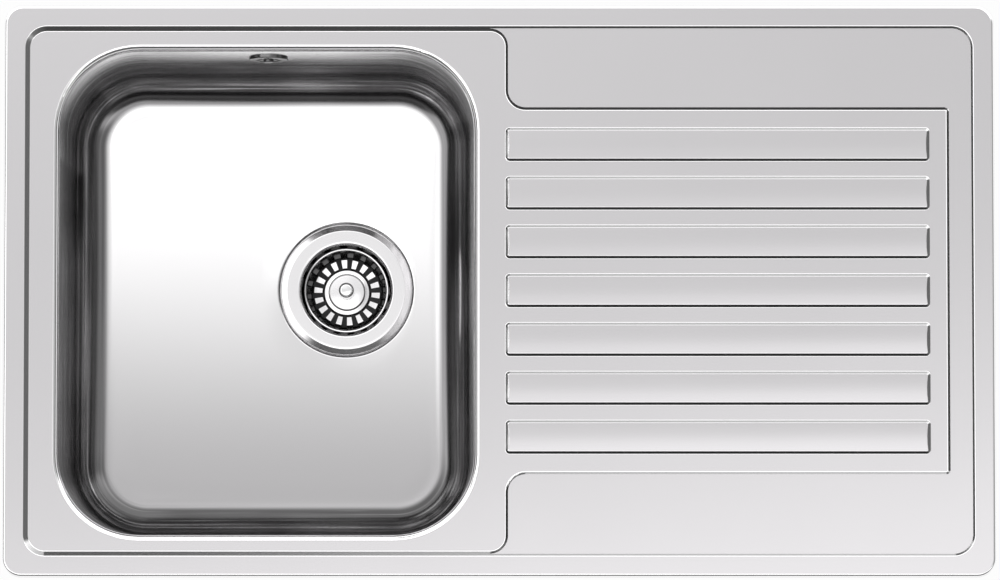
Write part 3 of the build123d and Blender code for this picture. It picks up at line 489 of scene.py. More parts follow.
# %% Placing pieces
def stand_in(name, shape, *replaced, angle=35.0, slot=None):
    """The bmesh as a piece that replaces CAD nodes and rides on their body."""
    for edge in shape.edges:
        edge.smooth = not (edge.is_manifold and edge.calc_face_angle(0.0) > radians(angle))
    for face in shape.faces:
        face.smooth = True
    mesh = bpy.data.meshes.new(name)
    shape.to_mesh(mesh)
    shape.free()
    piece = bpy.data.objects.new(name, mesh)
    bpy.context.scene.collection.objects.link(piece)
    slot = slot or slot_of[replaced[0]]
    mesh.materials.append(finish_of_slot[slot].material)
    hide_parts(*replaced)
    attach(piece, nodes[replaced[0]]["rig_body"])
    return piece


def weighted(piece):
    """Lets large faces decide the shading, so that flats stay flat beside bends."""
    modifier = piece.modifiers.new("weighted", "WEIGHTED_NORMAL")
    modifier.keep_sharp = True
    return piece


print("pieces are placed with their node's slot and body")

# %% Copies and walls
SAME_POINT = 0.000002
SAME_PLANE = radians(0.1)


def merged_copy(node):
    """A CAD node's triangles as one closed skin with its flat faces joined."""
    shape = bmesh.new()
    shape.from_mesh(nodes[node].data)
    bmesh.ops.remove_doubles(shape, verts=shape.verts, dist=SAME_POINT)
    bmesh.ops.dissolve_limit(shape, angle_limit=SAME_PLANE, verts=shape.verts, edges=shape.edges)
    return shape


def walled(shape, thickness):
    """Gives an open skin a wall behind its faces, so that the side in view stays where it is."""
    if sum(face.normal.z * face.calc_area() for face in shape.faces) < 0:
        bmesh.ops.reverse_faces(shape, faces=shape.faces)
    bmesh.ops.solidify(shape, geom=list(shape.faces), thickness=thickness)
    shape.normal_update()
    return shape


def only(kind, geometry):
    """The vertices, or the edges, among what an operator made."""
    return [item for item in geometry if isinstance(item, kind)]


def rounded(shape, edges, width, segments):
    """Rounds the edges, which keeps light off a knife edge."""
    bmesh.ops.bevel(shape, geom=edges, offset=width, offset_type="OFFSET", affect="EDGES",
                    segments=segments, profile=0.5, material=-1, clamp_overlap=True)


print("points closer than", SAME_POINT, "are merged")

# %% [markdown]
# ## The pressed sheet
# The rim, the ledges, the pan and its seven ribs are one sheet. The CAD node already has every step and
# every small round, so its copy is the best start. Two things are changed. The ledges' upper edges are
# sharp in the CAD model, so they get the small bend that a press tool leaves. The ribs' crowns are
# lowered, because from above even a third of a millimetre of crown changes which part of the sky they
# mirror.

# %% Drainer sheet
LEDGE_Z = 0.0033
SAME_LEVEL = 0.00002
STEP_ANGLES = (0.4, 0.6)
RIB_TOP_Z = 0.0042
RIBS_REACH = 0.145
CROWN_KEPT = 0.2
BEND = 0.0015
BEND_SEGMENTS = 3

sheet_shape = merged_copy("drainer_top")
for vertex in sheet_shape.verts:
    if vertex.co.x > 0 and LEDGE_Z < vertex.co.z < RIB_TOP_Z and abs(vertex.co.y) < RIBS_REACH:
        vertex.co.z = LEDGE_Z + CROWN_KEPT * (vertex.co.z - LEDGE_Z)
ledge_edges = [
    edge for edge in sheet_shape.edges
    if edge.is_manifold and STEP_ANGLES[0] < edge.calc_face_angle(0.0) < STEP_ANGLES[1]
    and all(abs(vertex.co.z - LEDGE_Z) < SAME_LEVEL for vertex in edge.verts)
]
rounded(sheet_shape, ledge_edges, BEND, BEND_SEGMENTS)
weighted(stand_in("drainer_sheet", sheet_shape, "drainer_top"))
print("ledge edges bent:", len(ledge_edges))

# %% [markdown]
# ## The bowl
# The bowl is drawn from a flat sheet, so its walls keep one outline that shrinks with the depth. It
# starts as a rectangle whose corners are rounded, and that outline is extruded down ring by ring: a
# wall with a little draft, a wide round, then a floor that falls to the drain. Each ring moves every
# point towards the middle of its corner's arc, so that the corners stay true arcs.

# %% Bowl outline
BOWL_MIDDLE = Vector((-0.2019, -0.0014, 0))
BOWL_HALF = Vector((0.18, 0.2105, 0))
BOWL_CORNER = 0.0695
THROAT_Z = -0.0061
CORNER_STEPS = 16
SIDE_CUTS = 31


def rounded_outline(half, corner, middle, z):
    """A flat face with rounded corners; its sides are cut so that they can follow a curve."""
    shape = bmesh.new()
    bmesh.ops.create_grid(shape, x_segments=1, y_segments=1, size=1.0)
    bmesh.ops.scale(shape, vec=(half.x, half.y, 1), verts=shape.verts)
    bmesh.ops.bevel(shape, geom=list(shape.verts), offset=corner, offset_type="OFFSET",
                    affect="VERTICES", segments=CORNER_STEPS, profile=0.5, material=-1)
    sides = [edge for edge in shape.edges if edge.calc_length() > corner / 2]
    bmesh.ops.subdivide_edges(shape, edges=sides, cuts=SIDE_CUTS)
    bmesh.ops.translate(shape, vec=Vector((middle.x, middle.y, z)), verts=shape.verts)
    return shape


bowl_shape = rounded_outline(BOWL_HALF, BOWL_CORNER, BOWL_MIDDLE, THROAT_Z)
print("outline points:", len(bowl_shape.verts))

# %% Rings of the bowl's wall and round
FLOOR_Z = -0.1781
DRAFT = radians(2.3)
FLOOR_ROUND = 0.035
WALL_STEPS = 6
ROUND_STEPS = 14

round_length = FLOOR_ROUND * (pi / 2 - DRAFT)
wall_length = (THROAT_Z - FLOOR_Z - FLOOR_ROUND) / cos(DRAFT)
round_inset = (THROAT_Z - FLOOR_Z - FLOOR_ROUND) * tan(DRAFT) + FLOOR_ROUND / cos(DRAFT)
rings = []
for step in range(1, WALL_STEPS + 1):
    share = step / WALL_STEPS
    z = THROAT_Z - share * (THROAT_Z - FLOOR_Z - FLOOR_ROUND * (1 - sin(DRAFT)))
    rings.append(((THROAT_Z - z) * tan(DRAFT), z, round_length + wall_length * (1 - share), 0.0))
for step in range(1, ROUND_STEPS + 1):
    share = step / ROUND_STEPS
    angle = DRAFT + share * (pi / 2 - DRAFT)
    inset = round_inset - FLOOR_ROUND * cos(angle)
    rings.append((inset, FLOOR_Z + FLOOR_ROUND * (1 - sin(angle)), round_length * (1 - share), share))
print("rings:", len(rings), "way up the wall:", round(round_length + wall_length, 4))

# %% Bowl walls
DRAIN = Vector((-0.1366, 0.014, 0))
DISH_RADIUS = Vector((9.0, 3.4, 0))


def dish(point):
    """How far the floor has risen at this distance from the drain."""
    away = point - DRAIN
    return away.x ** 2 / (2 * DISH_RADIUS.x) + away.y ** 2 / (2 * DISH_RADIUS.y)


def towards_arc(point, before, after):
    """A point of the bowl's outline, moved from one inset to the next."""
    flat = point - BOWL_MIDDLE
    reach = BOWL_HALF - Vector((BOWL_CORNER, BOWL_CORNER, 0))
    heart = Vector((max(-reach.x, min(reach.x, flat.x)), max(-reach.y, min(reach.y, flat.y)), flat.z))
    return BOWL_MIDDLE + heart + (flat - heart) * ((BOWL_CORNER - after) / (BOWL_CORNER - before))


for name in ("climb", "outside"):
    bowl_shape.verts.layers.float.new(name)
climb_layer = bowl_shape.verts.layers.float["climb"]
outside_layer = bowl_shape.verts.layers.float["outside"]
bmesh.ops.delete(bowl_shape, geom=list(bowl_shape.faces), context="FACES_ONLY")
border = list(bowl_shape.edges)
for vertex in bowl_shape.verts:
    vertex[climb_layer] = round_length + wall_length
inset_before = 0.0
for inset, z, climbed, dish_share in rings:
    grown = bmesh.ops.extrude_edge_only(bowl_shape, edges=border)["geom"]
    border = only(BMEdge, grown)
    for vertex in only(BMVert, grown):
        vertex.co = towards_arc(vertex.co, inset_before, inset)
        vertex.co.z = z + dish_share * dish(vertex.co)
        vertex[climb_layer] = climbed
    inset_before = inset
print("wall faces:", len(bowl_shape.faces))

# %% [markdown]
# ## The bowl's floor and seat
# From the end of the round, the outline is extruded once to a circle at the drain. Its spokes are then
# cut and lifted to the dish, which is simpler than bridging an outline to a circle. A few small rings
# press the seat that the strainer's flange lies in. The inner skin is what the camera sees, so the
# wall's thickness goes behind it.

# %% Bowl floor
SHEET = 0.0008
SEAT_Z = -0.1801
SEAT_RADIUS = 0.0585
SEAT_BLEND = 0.0032
SEAT_ROUND = ((0.0024, -0.0001), (0.0018, -0.0004), (0.0004, -0.0016), (0.0, -0.00185),
              (-0.0008, -0.002))
HOLE_RADIUS = 0.045
SPOKE_CUTS = 8


def drain_ring(shape, edges, radius, z):
    """Extrudes a border to a level circle round the drain."""
    grown = bmesh.ops.extrude_edge_only(shape, edges=edges)["geom"]
    for vertex in only(BMVert, grown):
        away = Vector((vertex.co.x - DRAIN.x, vertex.co.y - DRAIN.y, 0)).normalized()
        vertex.co = DRAIN + away * radius + Vector((0, 0, z))
    return only(BMEdge, grown)


border = drain_ring(bowl_shape, border, SEAT_RADIUS + SEAT_BLEND, FLOOR_Z)
inner = {vertex for edge in border for vertex in edge.verts}
spokes = [edge for edge in bowl_shape.edges if len(inner.intersection(edge.verts)) == 1]
cut = bmesh.ops.subdivide_edges(bowl_shape, edges=spokes, cuts=SPOKE_CUTS)["geom_inner"]
for vertex in only(BMVert, cut):
    vertex.co.z = FLOOR_Z + dish(vertex.co)
for wider, lower in SEAT_ROUND:
    border = drain_ring(bowl_shape, border, SEAT_RADIUS + wider, FLOOR_Z + lower)
border = drain_ring(bowl_shape, border, HOLE_RADIUS, SEAT_Z)
bmesh.ops.recalc_face_normals(bowl_shape, faces=bowl_shape.faces)
inner_skin = set(bowl_shape.verts)
bowl_shape = walled(bowl_shape, SHEET)
for vertex in bowl_shape.verts:
    vertex[outside_layer] = float(vertex not in inner_skin)
print("inner points:", len(inner_skin), "all points:", len(bowl_shape.verts))
stand_in("bowl_shell", bowl_shape, "bowl", angle=50)

# %% [markdown]
# ## Turned and spun pieces
# The strainer, the basket, the knob and the outlet are round, so each is a profile of (radius, height)
# points spun about the drain's axis. A spun ring closes on itself only if its seam is merged, and its
# normals are recalculated afterwards, because a spin can turn a shape inside out.

# %% Spinning a profile
RING_STEPS = 96


def spun(profile, steps=RING_STEPS, closed=False):
    """A ring of the profile's (radius, height) points about the drain's axis."""
    shape = bmesh.new()
    line = [shape.verts.new((DRAIN.x + radius, DRAIN.y, height)) for radius, height in profile]
    edges = [shape.edges.new(pair) for pair in zip(line, line[1:])]
    if closed:
        edges.append(shape.edges.new((line[-1], line[0])))
    bmesh.ops.spin(shape, geom=line + edges, cent=DRAIN, axis=(0, 0, 1), angle=2 * pi, steps=steps,
                   use_merge=True)
    bmesh.ops.remove_doubles(shape, verts=shape.verts, dist=SAME_POINT / 2)
    bmesh.ops.recalc_face_normals(shape, faces=shape.faces)
    return shape


def arc(out, height, radius, start, stop, steps=6):
    """Profile points on an arc about (out, height), from one angle to another in degrees."""
    angles = [radians(start + (stop - start) * step / steps) for step in range(steps + 1)]
    return [(out + radius * cos(angle), height + radius * sin(angle)) for angle in angles]


print("a spun ring has", RING_STEPS, "steps")

# %% [markdown]
# ## The strainer's flange and cup
# The polished flange covers the edge of the hole in the bowl. It slopes down to its rim, lies flat, and
# rolls over into the cup. Its slope is set by what it has to mirror: on the far side it looks just over
# the bowl's wall at the bright end of the room, and on the near side at the dark one. A few points
# close together at both ends of the slope keep the smooth shading from spreading over it.

# %% Strainer profile
FLANGE_RADIUS = 0.058
FLANGE_Z = -0.1771
FLANGE_FOOT_Z = SEAT_Z + 0.0001
LIP_Z = FLANGE_Z - 0.0019
LIP_EDGE = 0.00015
SLOPE_FOOT = Vector((FLANGE_RADIUS - 0.0003, LIP_Z))
FLAT_RADIUS = 0.0525
SLOPE_HEAD = Vector((FLAT_RADIUS + 0.0004, FLANGE_Z - 0.00010))
SLOPE_SHARES = (0.0, 0.06, 0.35, 0.65, 0.94, 1.0)
FLAT_START = ((0.0, -0.00002), (-0.0004, 0.0), (-0.002, 0.0))
MOUTH_RADIUS = 0.0402
MOUTH_ROLL = 0.0026
BEFORE_ROLL = 0.001
CUP_FLOOR_Z = -0.2191
CUP_CORNER = 0.003
PORT_RADIUS = 0.024
HUB_RADIUS = 0.009
SCREW_HOLE = 0.0031

cup_profile = [(FLANGE_RADIUS, FLANGE_FOOT_Z), (FLANGE_RADIUS, LIP_Z - LIP_EDGE)]
cup_profile += [tuple(SLOPE_FOOT.lerp(SLOPE_HEAD, share)) for share in SLOPE_SHARES]
cup_profile += [(FLAT_RADIUS + wider, FLANGE_Z + higher) for wider, higher in FLAT_START]
cup_profile += [(MOUTH_RADIUS + MOUTH_ROLL + BEFORE_ROLL, FLANGE_Z)]
cup_profile += arc(MOUTH_RADIUS + MOUTH_ROLL, FLANGE_Z - MOUTH_ROLL, MOUTH_ROLL, 90, 180, 8)
cup_profile += arc(MOUTH_RADIUS - CUP_CORNER, CUP_FLOOR_Z + CUP_CORNER, CUP_CORNER, 0, -90, 6)
cup_profile += [(radius, CUP_FLOOR_Z) for radius in (PORT_RADIUS, HUB_RADIUS, SCREW_HOLE)]
print("strainer points:", len(cup_profile))

# %% Strainer cup
CUP_WALL = 0.0008
AT_CUP_FLOOR = 0.0002
ARM_HALF = 0.0024

cup_shape = spun(cup_profile)
open_faces = []
for face in cup_shape.faces:
    middle = face.calc_center_median() - DRAIN
    radius = hypot(middle.x, middle.y)
    beside_arm = abs(sin(2 * atan2(middle.y, middle.x))) * radius / 2
    at_floor = middle.z < CUP_FLOOR_Z + AT_CUP_FLOOR
    if at_floor and HUB_RADIUS < radius < PORT_RADIUS and beside_arm > ARM_HALF:
        open_faces.append(face)
bmesh.ops.delete(cup_shape, geom=open_faces, context="FACES")
stand_in("strainer_cup_spun", walled(cup_shape, CUP_WALL), "strainer_cup", angle=40)
print("port faces removed:", len(open_faces))

# %% [markdown]
# ## The basket
# The basket is pressed from one disc: a raised plate in the middle, a flat ring with eighteen slots,
# and a wall that curves up to a rolled lip. Its rings are spun six steps to a slot. Three of the six
# are deleted, which leaves the bars between the slots, and solidify gives the sheet its thickness.
# Cutting real holes would give the same bars, but with ragged faces round them.

# %% Basket profile
BASKET_SHEET = 0.0008
BASKET_Z = -0.2125 + BASKET_SHEET
BASKET_TOP_Z = -0.1855
PLATE_AND_RING = (
    (0.0034, 0.0028), (0.0150, 0.0028), (0.0158, 0.0026), (0.0162, 0.0014), (0.0168, 0.0011),
    (0.0192, 0.0011), (0.0199, 0.0009), (0.0203, 0.0005), (0.0218, -0.0007), (0.0223, -0.0007),
    (0.0262, -0.0004), (0.0290, -0.0002), (0.0295, -0.0001),
)
CORNER_RADIUS, CORNER_HEIGHT, CORNER_ROUND = 0.0253, 0.0049, 0.0065
WALL_FOOT = (0.0352, 0.013)
WALL_HEAD = (0.0357, -0.0012)
LIP_RADIUS, LIP_ROLL = 0.0368, 0.0011

basket_profile = [(radius, BASKET_Z + height) for radius, height in PLATE_AND_RING]
basket_profile += arc(CORNER_RADIUS, BASKET_Z + CORNER_HEIGHT, CORNER_ROUND, -50, -20, 4)
basket_profile += [(WALL_FOOT[0], BASKET_Z + WALL_FOOT[1]), (WALL_HEAD[0], BASKET_TOP_Z + WALL_HEAD[1])]
basket_profile += arc(LIP_RADIUS, BASKET_TOP_Z - LIP_ROLL, LIP_ROLL, 180, 0, 6)
print("basket points:", len(basket_profile))

# %% Basket cup
SLOT_COUNT = 18
STEPS_PER_SLOT = 6
SLOT_STEPS = 3
SLOT_START = 0.0203

basket_steps = SLOT_COUNT * STEPS_PER_SLOT
basket_shape = spun(basket_profile, basket_steps)
slots = []
for face in basket_shape.faces:
    middle = face.calc_center_median() - DRAIN
    place = (atan2(middle.y, middle.x) / (2 * pi) * basket_steps) % STEPS_PER_SLOT
    in_ring = hypot(middle.x, middle.y) > SLOT_START and middle.z < BASKET_Z + WALL_FOOT[1]
    if in_ring and place < SLOT_STEPS:
        slots.append(face)
bmesh.ops.delete(basket_shape, geom=slots, context="FACES")
stand_in("basket_pressed", walled(basket_shape, BASKET_SHEET), "basket_cup", angle=27)
print("slot faces removed:", len(slots))

# %% [markdown]
# ## The basket's knob
# The knob is a turned pin with a round head on a slightly thinner neck. The head's shoulder is wide and
# round, so that it mirrors the walls round it and its outline shows against the bright plate below.

# %% Knob
KNOB_TOP_Z = -0.1787
KNOB_FOOT_Z = -0.2087
KNOB_RADIUS = 0.0067
SHOULDER = 0.0028
HEAD_FOOT, HEAD_FOOT_ROUND = 0.0075, 0.0015
NECK_RADIUS = 0.0062
NECK_HEAD, NECK_ROUND = 0.0098, 0.0004
STEM_RADIUS = 0.003
SOCKET_DEPTH = 0.004

knob_profile = [(0.0, KNOB_TOP_Z)]
knob_profile += arc(KNOB_RADIUS - SHOULDER, KNOB_TOP_Z - SHOULDER, SHOULDER, 90, 0, 8)
knob_profile += arc(KNOB_RADIUS - HEAD_FOOT_ROUND, KNOB_TOP_Z - HEAD_FOOT, HEAD_FOOT_ROUND, 0, -70, 4)
knob_profile += arc(NECK_RADIUS + NECK_ROUND, KNOB_TOP_Z - NECK_HEAD, NECK_ROUND, 110, 180, 4)
knob_profile += [(NECK_RADIUS, KNOB_FOOT_Z), (STEM_RADIUS, KNOB_FOOT_Z)]
knob_profile += [(STEM_RADIUS, KNOB_TOP_Z - SOCKET_DEPTH), (0.0, KNOB_TOP_Z - SOCKET_DEPTH)]
stand_in("basket_knob_turned", spun(knob_profile, steps=48), "basket_knob", angle=40)
print("knob points:", len(knob_profile))

# %% [markdown]
# ## The outlet's thread
# The white tail below the waste takes the trap's nut. Its thread is a row of rounded rings: the helix
# angle of so coarse a thread on so wide a pipe is only about one degree, so rings look the same and
# spin cleanly.

# %% Threaded tail
TAIL_FOOT_Z, TAIL_TOP_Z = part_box("outlet_tail")[0].z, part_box("outlet_tail")[1].z
TAIL_NECK_RADIUS = 0.0251
TAIL_BORE_RADIUS = 0.0205
TAIL_CHAMFER = 0.0006
THREAD_TOP_Z = -0.2561
THREAD_ROOT = 0.0228
THREAD_CREST = 0.0238
THREAD_PITCH = 0.0031
THREAD_LEAD = 0.001
CREST_START, CREST_END, ROOT_START = 0.35, 0.50, 0.85

tail_profile = [(TAIL_BORE_RADIUS, TAIL_TOP_Z), (TAIL_NECK_RADIUS, TAIL_TOP_Z)]
tail_profile += [(TAIL_NECK_RADIUS, THREAD_TOP_Z + TAIL_CHAMFER)]
tail_profile += [(TAIL_NECK_RADIUS - TAIL_CHAMFER, THREAD_TOP_Z)]
tail_profile += [(THREAD_ROOT, THREAD_TOP_Z)]
height = THREAD_TOP_Z - THREAD_LEAD
while height - THREAD_PITCH > TAIL_FOOT_Z + THREAD_LEAD:
    tail_profile += [(THREAD_ROOT, height), (THREAD_CREST, height - THREAD_PITCH * CREST_START)]
    tail_profile += [(THREAD_CREST, height - THREAD_PITCH * CREST_END)]
    tail_profile += [(THREAD_ROOT, height - THREAD_PITCH * ROOT_START)]
    height -= THREAD_PITCH
tail_profile += [(THREAD_ROOT, TAIL_FOOT_Z + TAIL_CHAMFER), (THREAD_ROOT - TAIL_CHAMFER, TAIL_FOOT_Z)]
tail_profile += [(TAIL_BORE_RADIUS, TAIL_FOOT_Z)]
stand_in("outlet_tail_threaded", spun(tail_profile, steps=64, closed=True), "outlet_tail", angle=50)
print("thread points:", len(tail_profile))

# %% [markdown]
# ## The overflow's hose
# A short moulded pipe leads from the overflow down behind the bowl and under it to the waste. It is
# corrugated so that it can bend, with a plain cuff at each end for the clamp. One circle is extruded
# along the route ring by ring. Each ring's matrix places, turns and sizes it, so the corrugation is
# only a change of radius on the way.

# %% The hose's route
HOSE_TOP = Vector((BOWL_MIDDLE.x, 0.2223, -0.0687))
HOSE_END_Z = -0.2175
HOSE_BEND = 0.062
HOSE_END_REACH = 0.0503
CUFF = 0.017
CUFF_RADIUS = 0.0112
RIDGE = 0.0013
RIDGE_PITCH = 0.0036
RIDGE_ROUNDNESS = 0.7

heading = Vector((DRAIN.x - HOSE_TOP.x, DRAIN.y - HOSE_TOP.y, 0))
hose_level = heading.length - HOSE_END_REACH - HOSE_BEND
heading.normalize()
hose_drop = HOSE_TOP.z - HOSE_END_Z - HOSE_BEND
hose_length = hose_drop + HOSE_BEND * pi / 2 + hose_level


def hose_ring(way):
    """The matrix that takes a unit circle to its place on the hose."""
    turn = min(max((way - hose_drop) / HOSE_BEND, 0.0), pi / 2)
    past = max(way - hose_drop - HOSE_BEND * pi / 2, 0.0)
    place = HOSE_TOP + heading * (HOSE_BEND * (1 - cos(turn)) + past)
    place.z -= min(way, hose_drop) + HOSE_BEND * sin(turn)
    radius = CUFF_RADIUS
    if CUFF < way < hose_length - CUFF:
        radius -= RIDGE * (0.5 - 0.5 * cos(2 * pi * (way - CUFF) / RIDGE_PITCH)) ** RIDGE_ROUNDNESS
    tilt = Matrix.Rotation(turn, 4, Vector((0, 0, -1)).cross(heading))
    return Matrix.Translation(place) @ tilt @ Matrix.Scale(radius, 4)


print("hose length:", round(hose_length, 4))

# %% Corrugated hose
RINGS_PER_RIDGE = 6
HOSE_SIDES = 28
HOSE_WALL = 0.001

ridges = int((hose_length - 2 * CUFF) / RIDGE_PITCH)
ways = [0.0, CUFF / 2]
ways += [CUFF + RIDGE_PITCH * step / RINGS_PER_RIDGE for step in range(ridges * RINGS_PER_RIDGE + 1)]
ways += [hose_length - CUFF / 2, hose_length]
hose_shape = bmesh.new()
bmesh.ops.create_circle(hose_shape, segments=HOSE_SIDES, radius=1.0, matrix=hose_ring(0.0))
border = list(hose_shape.edges)
for before, after in zip(ways, ways[1:]):
    grown = bmesh.ops.extrude_edge_only(hose_shape, edges=border)["geom"]
    border = only(BMEdge, grown)
    onward = hose_ring(after) @ hose_ring(before).inverted()
    bmesh.ops.transform(hose_shape, matrix=onward, verts=only(BMVert, grown))
bmesh.ops.recalc_face_normals(hose_shape, faces=hose_shape.faces)
hose_shape.faces.ensure_lookup_table()
first = hose_shape.faces[0]
if (first.calc_center_median() - HOSE_TOP).dot(first.normal) < 0:
    bmesh.ops.reverse_faces(hose_shape, faces=hose_shape.faces)
bmesh.ops.solidify(hose_shape, geom=list(hose_shape.faces), thickness=HOSE_WALL)
stand_in("overflow_hose_corrugated", hose_shape, "overflow_hose", angle=60)
print("ridges:", ridges)

# %% [markdown]
# ## The overflow's rose
# The small sieve on the rear wall takes the wall's steel, with its painted shade and painted reflections,
# so that from above it sinks into the wall. The bowl's finish reads the climb attribute, so the rose's
# mesh gets one value of it, as if it were a bit of wall.

# %% Overflow rose
ROSE_CLIMB = 0.11

for node in ("overflow_rose", "overflow_screw"):
    rose_shape = merged_copy(node)
    layer = rose_shape.verts.layers.float.new("climb")
    for vertex in rose_shape.verts:
        vertex[layer] = ROSE_CLIMB
    # the rose and its screw take the wall's painted shade and painted reflections
    weighted(stand_in(node + "_wall_shaded", rose_shape, node, slot="bowl_steel"))
print("rose in the wall's finish")

# %% [markdown]
# ## Soft pieces
# Gaskets, the foam under the rim and the damping pads are cut or moulded from soft sheet, which never
# keeps a knife edge. Their copies get small rounds on all sharp edges. The pad under the bowl also
# follows the dish of the floor above it, so it is raised where the floor is.

# %% Gaskets, foam and pads
CAD_DISH_RADIUS = 9.0
KNIFE_EDGE = radians(60)
SOFT_SEGMENTS = 2
SOFT_ROUNDS = {
    "flange_gasket": 0.0003, "waste_gasket": 0.0004, "overflow_gasket": 0.0004, "basket_seal": 0.0004,
    "rim_seal": 0.0008, "bowl_pad": 0.0008, "drainer_pad": 0.0008,
}

for node, rounding in SOFT_ROUNDS.items():
    soft_shape = merged_copy(node)
    if node == "bowl_pad":
        for vertex in soft_shape.verts:
            away = vertex.co - DRAIN
            vertex.co.z += dish(vertex.co) - (away.x ** 2 + away.y ** 2) / (2 * CAD_DISH_RADIUS)
    sharp = [edge for edge in soft_shape.edges
             if edge.is_manifold and edge.calc_face_angle(0.0) > KNIFE_EDGE]
    rounded(soft_shape, sharp, rounding, SOFT_SEGMENTS)
    weighted(stand_in(node + "_soft", soft_shape, node))
    print(node, "edges rounded:", len(sharp))

# %% [markdown]
# ## Everything else
# The other CAD nodes have the right shape already: rails, clips, claws, screws, the waste body and the
# overflow's body. Each gets a merged copy, so that its curves shade smoothly.

# %% Smooth copies
made = {
    "drainer_top", "bowl", "strainer_cup", "basket_cup", "basket_knob", "outlet_tail",
    "overflow_hose", "overflow_rose", "overflow_screw", *SOFT_ROUNDS,
}
for node in sorted(set(nodes) - made):
    weighted(stand_in(node + "_smooth", merged_copy(node), node))
print("smooth copies:", len(nodes) - len(made))

# %% [markdown]
# ## The studio's floor
# The floor is plain and pale. The camera and every mirror see it nearly white, while its own grey still
# catches the shadow. From below it is left out, so that the underside of the sink can be looked at too.

# %% Floor
FLOOR_GAP = 0.002
FLOOR_HALF = 4.0
FLOOR_GREY = (0.85, 0.85, 0.85)
FLOOR_ROUGHNESS = 0.9
WHITE = {"Color": (1.0, 1.0, 1.0), "Strength": 1.0}
WHITE_SHARE = 0.95

under_all = Matrix.Translation((0, 0, cad_box[0][2] - FLOOR_GAP))
floor_shape = bmesh.new()
bmesh.ops.create_grid(floor_shape, x_segments=1, y_segments=1, size=FLOOR_HALF, matrix=under_all)
floor_mesh = bpy.data.meshes.new("studio_floor")
floor_shape.to_mesh(floor_mesh)
floor_shape.free()
floor = bpy.data.objects.new("studio_floor", floor_mesh)
bpy.context.scene.collection.objects.link(floor)
floor_finish = Finish("studio_floor")
floor_finish.set(Base_Color=FLOOR_GREY, Roughness=FLOOR_ROUGHNESS)
from_camera = floor_finish.signal("ShaderNodeLightPath", output="Is Camera Ray")
from_mirror = floor_finish.signal("ShaderNodeLightPath", output="Is Glossy Ray")
glow = floor_finish.node("ShaderNodeEmission", None, WHITE)
pale = floor_finish.mixed((from_camera + from_mirror) * WHITE_SHARE, floor_finish.shader, glow)
underneath = floor_finish.signal("ShaderNodeNewGeometry", output="Backfacing")
clear = floor_finish.node("ShaderNodeBsdfTransparent")
one_sided = floor_finish.mixed(underneath * from_camera, pale, clear)
floor_finish.feed(floor_finish.found("OUTPUT_MATERIAL").inputs["Surface"], one_sided.outputs[0])
floor_mesh.materials.append(floor_finish.material)
print("floor at", round(under_all.translation.z, 4))

# %% [markdown]
# ## The studio's sky
# A metal top shows the room, so the room is a sky of soft tones, written by the direction that it is
# seen in. The flat deck mirrors only the sky's middle. That is grey and brightens to the south and to
# the north-west, which gives the deck its slow change of tone. Lamps would throw hot spots on it. A
# brighter ring round the middle lights the bends on both sides of each step. It is dim to the east and
# has a dark gap low in the south, which the near side of the strainer's flange mirrors. Beyond the ring
# the north is bright with a dark dip across it, and the rest is dark. So a step that faces north draws
# a thin dark line between two white ones, and the other steps draw black lines. The dip is deepest in
# the west and narrower on the diagonals, where rounded corners flash white. Near the horizon all turns
# a middle grey, which keeps the deck looking like steel from low views.

# %% The sky's middle
BELOW_HORIZON, FAR_OFF = (0.0, -0.01), 9.0
MIDDLE_GREY = 0.87
SLANT = 0.22
SOUTH_EDGE, SOUTH_END, SOUTH_GLOW = (0.060, 0.018), (0.20, 0.11), 0.62
EAST_EDGE, EAST_SHADE = (0.02, 0.07), 0.05
REAR_EDGE, WEST_EDGE, NORTH_WEST_GLOW = (0.09, 0.118), (0.05, -0.06), 0.14
NORTH_EDGE, NORTH_GLOW = (0.12, 0.15), 0.08

world = bpy.data.worlds.new("studio_sky")
bpy.context.scene.world = world
world.use_nodes = True
sky = Finish("studio_sky", world.node_tree)
east, north, up = sky.axes("Generated")
off_zenith = east * east + north * north + sky.ramp(up, *BELOW_HORIZON) * FAR_OFF
south_glow = sky.ramp(north - east * SLANT, *SOUTH_EDGE) * sky.ramp(east, *SOUTH_END)
middle = MIDDLE_GREY + south_glow * SOUTH_GLOW
middle = middle - sky.ramp(east, *EAST_EDGE) * EAST_SHADE
middle = middle + sky.ramp(north, *REAR_EDGE) * sky.ramp(east, *WEST_EDGE) * NORTH_WEST_GLOW
middle = middle + sky.ramp(north, *NORTH_EDGE) * NORTH_GLOW
print("middle of the sky:", MIDDLE_GREY)

# %% The ring round it
RING_EDGE = (0.10, 0.17)
RING_DIM, RING_BRIGHT = 0.45, 1.5
OFF_EAST_WEST = (0.03, 0.10)
WEST_BRIGHT = (-0.2, -0.35)
GAP_SOUTH, GAP_START, GAP_DARK = (-0.40, -0.50), (0.29, 0.33), 0.96
GAP_EASES, GAP_EASED = (0.47, 0.50), 0.16

ring = sky.ramp(off_zenith, *RING_EDGE)
lamps = RING_DIM + sky.ramp(north * north, *OFF_EAST_WEST) * (RING_BRIGHT - RING_DIM)
lamps = lamps + sky.ramp(east, *WEST_BRIGHT) * (RING_BRIGHT - lamps)
gap = sky.ramp(north, *GAP_SOUTH) * sky.ramp(off_zenith, *GAP_START)
lamps = lamps * (1 - gap * (GAP_DARK - sky.ramp(off_zenith, *GAP_EASES) * GAP_EASED))
print("ring between", RING_DIM, "and", RING_BRIGHT)

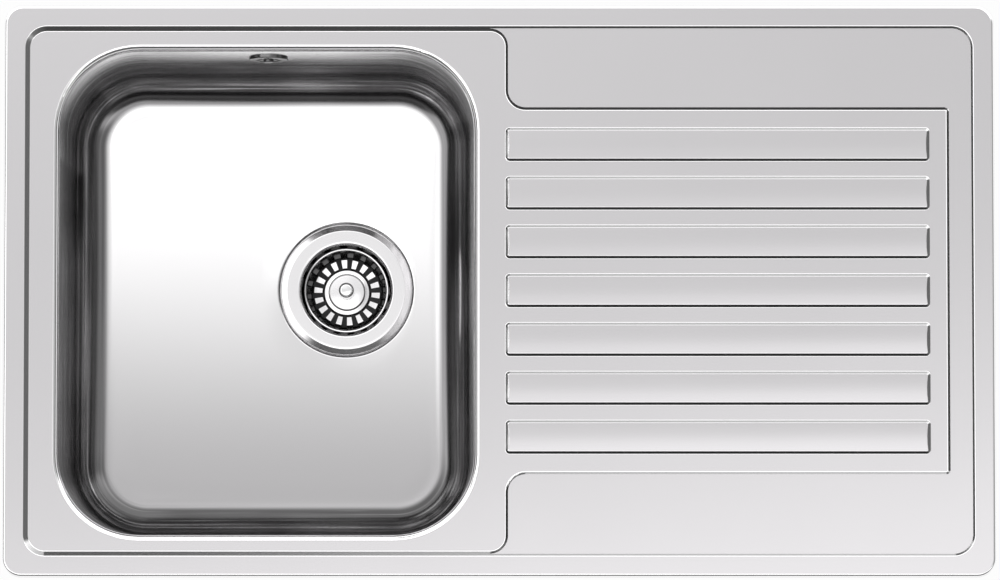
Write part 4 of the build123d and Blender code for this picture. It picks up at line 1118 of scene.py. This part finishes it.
# %% Beyond the ring
NORTH_BRIGHT, BRIGHT = (0.25, 0.45), 1.5
DIP_HEAD, DIP_FOOT = (0.57, 0.53), (0.34, 0.38)
DIAGONAL, DIAGONAL_LIFT = (0.03, 0.10), 0.07
DIP_EAST, DIP_TO_WEST, DIP_MORE = 1.0, (-0.01, -0.035), 0.5
EAST_RISE, EAST_GREY = (0.2, 0.7), 0.10
DARK = 0.015
LOW, LOW_GREY = (0.41, 0.33), 0.55
LOWEST, LOWEST_GREY = (0.2, 0.1), 0.35
OUTER_EDGE = (0.57, 0.64)

diagonal = sky.ramp((north * east) ** 2, *DIAGONAL)
dip = sky.ramp(up, *DIP_HEAD) * sky.ramp(up - diagonal * DIAGONAL_LIFT, *DIP_FOOT)
dip_depth = DIP_EAST + sky.ramp(east, *DIP_TO_WEST) * DIP_MORE
bright_north = sky.ramp(north, *NORTH_BRIGHT) * (BRIGHT - dip * dip_depth)
horizon = sky.ramp(up, *LOW) * LOW_GREY + sky.ramp(up, *LOWEST) * LOWEST_GREY
beyond = bright_north + sky.ramp(east, *EAST_RISE) * EAST_GREY + DARK
beyond = beyond + horizon * (1 - bright_north / BRIGHT)
outer = sky.ramp(off_zenith, *OUTER_EDGE)
level = (middle * (1 - ring) + ring * lamps) * (1 - outer) + beyond * outer
print("beyond the ring:", BRIGHT, "in the north,", DARK, "elsewhere")

# %% [markdown]
# ## The backdrop
# The tones are for the mirrors alone. Where the camera sees the sky directly, as it does round the sink
# from below, a plain white backdrop takes their place, so that no pattern stands behind the object.

# %% Sky and backdrop
background = sky.found("BACKGROUND")
grey = sky.node("ShaderNodeCombineColor", None, {0: level, 1: level, 2: level})
sky.feed(background.inputs["Color"], grey.outputs[0])
background.inputs["Strength"].default_value = 1.0
backdrop = sky.node("ShaderNodeBackground", None, WHITE)
seen_directly = sky.signal("ShaderNodeLightPath", output="Is Camera Ray")
shown = sky.mixed(seen_directly, background, backdrop)
sky.feed(sky.found("OUTPUT_WORLD").inputs["Surface"], shown.outputs[0])
print("sky nodes:", len(world.node_tree.nodes))
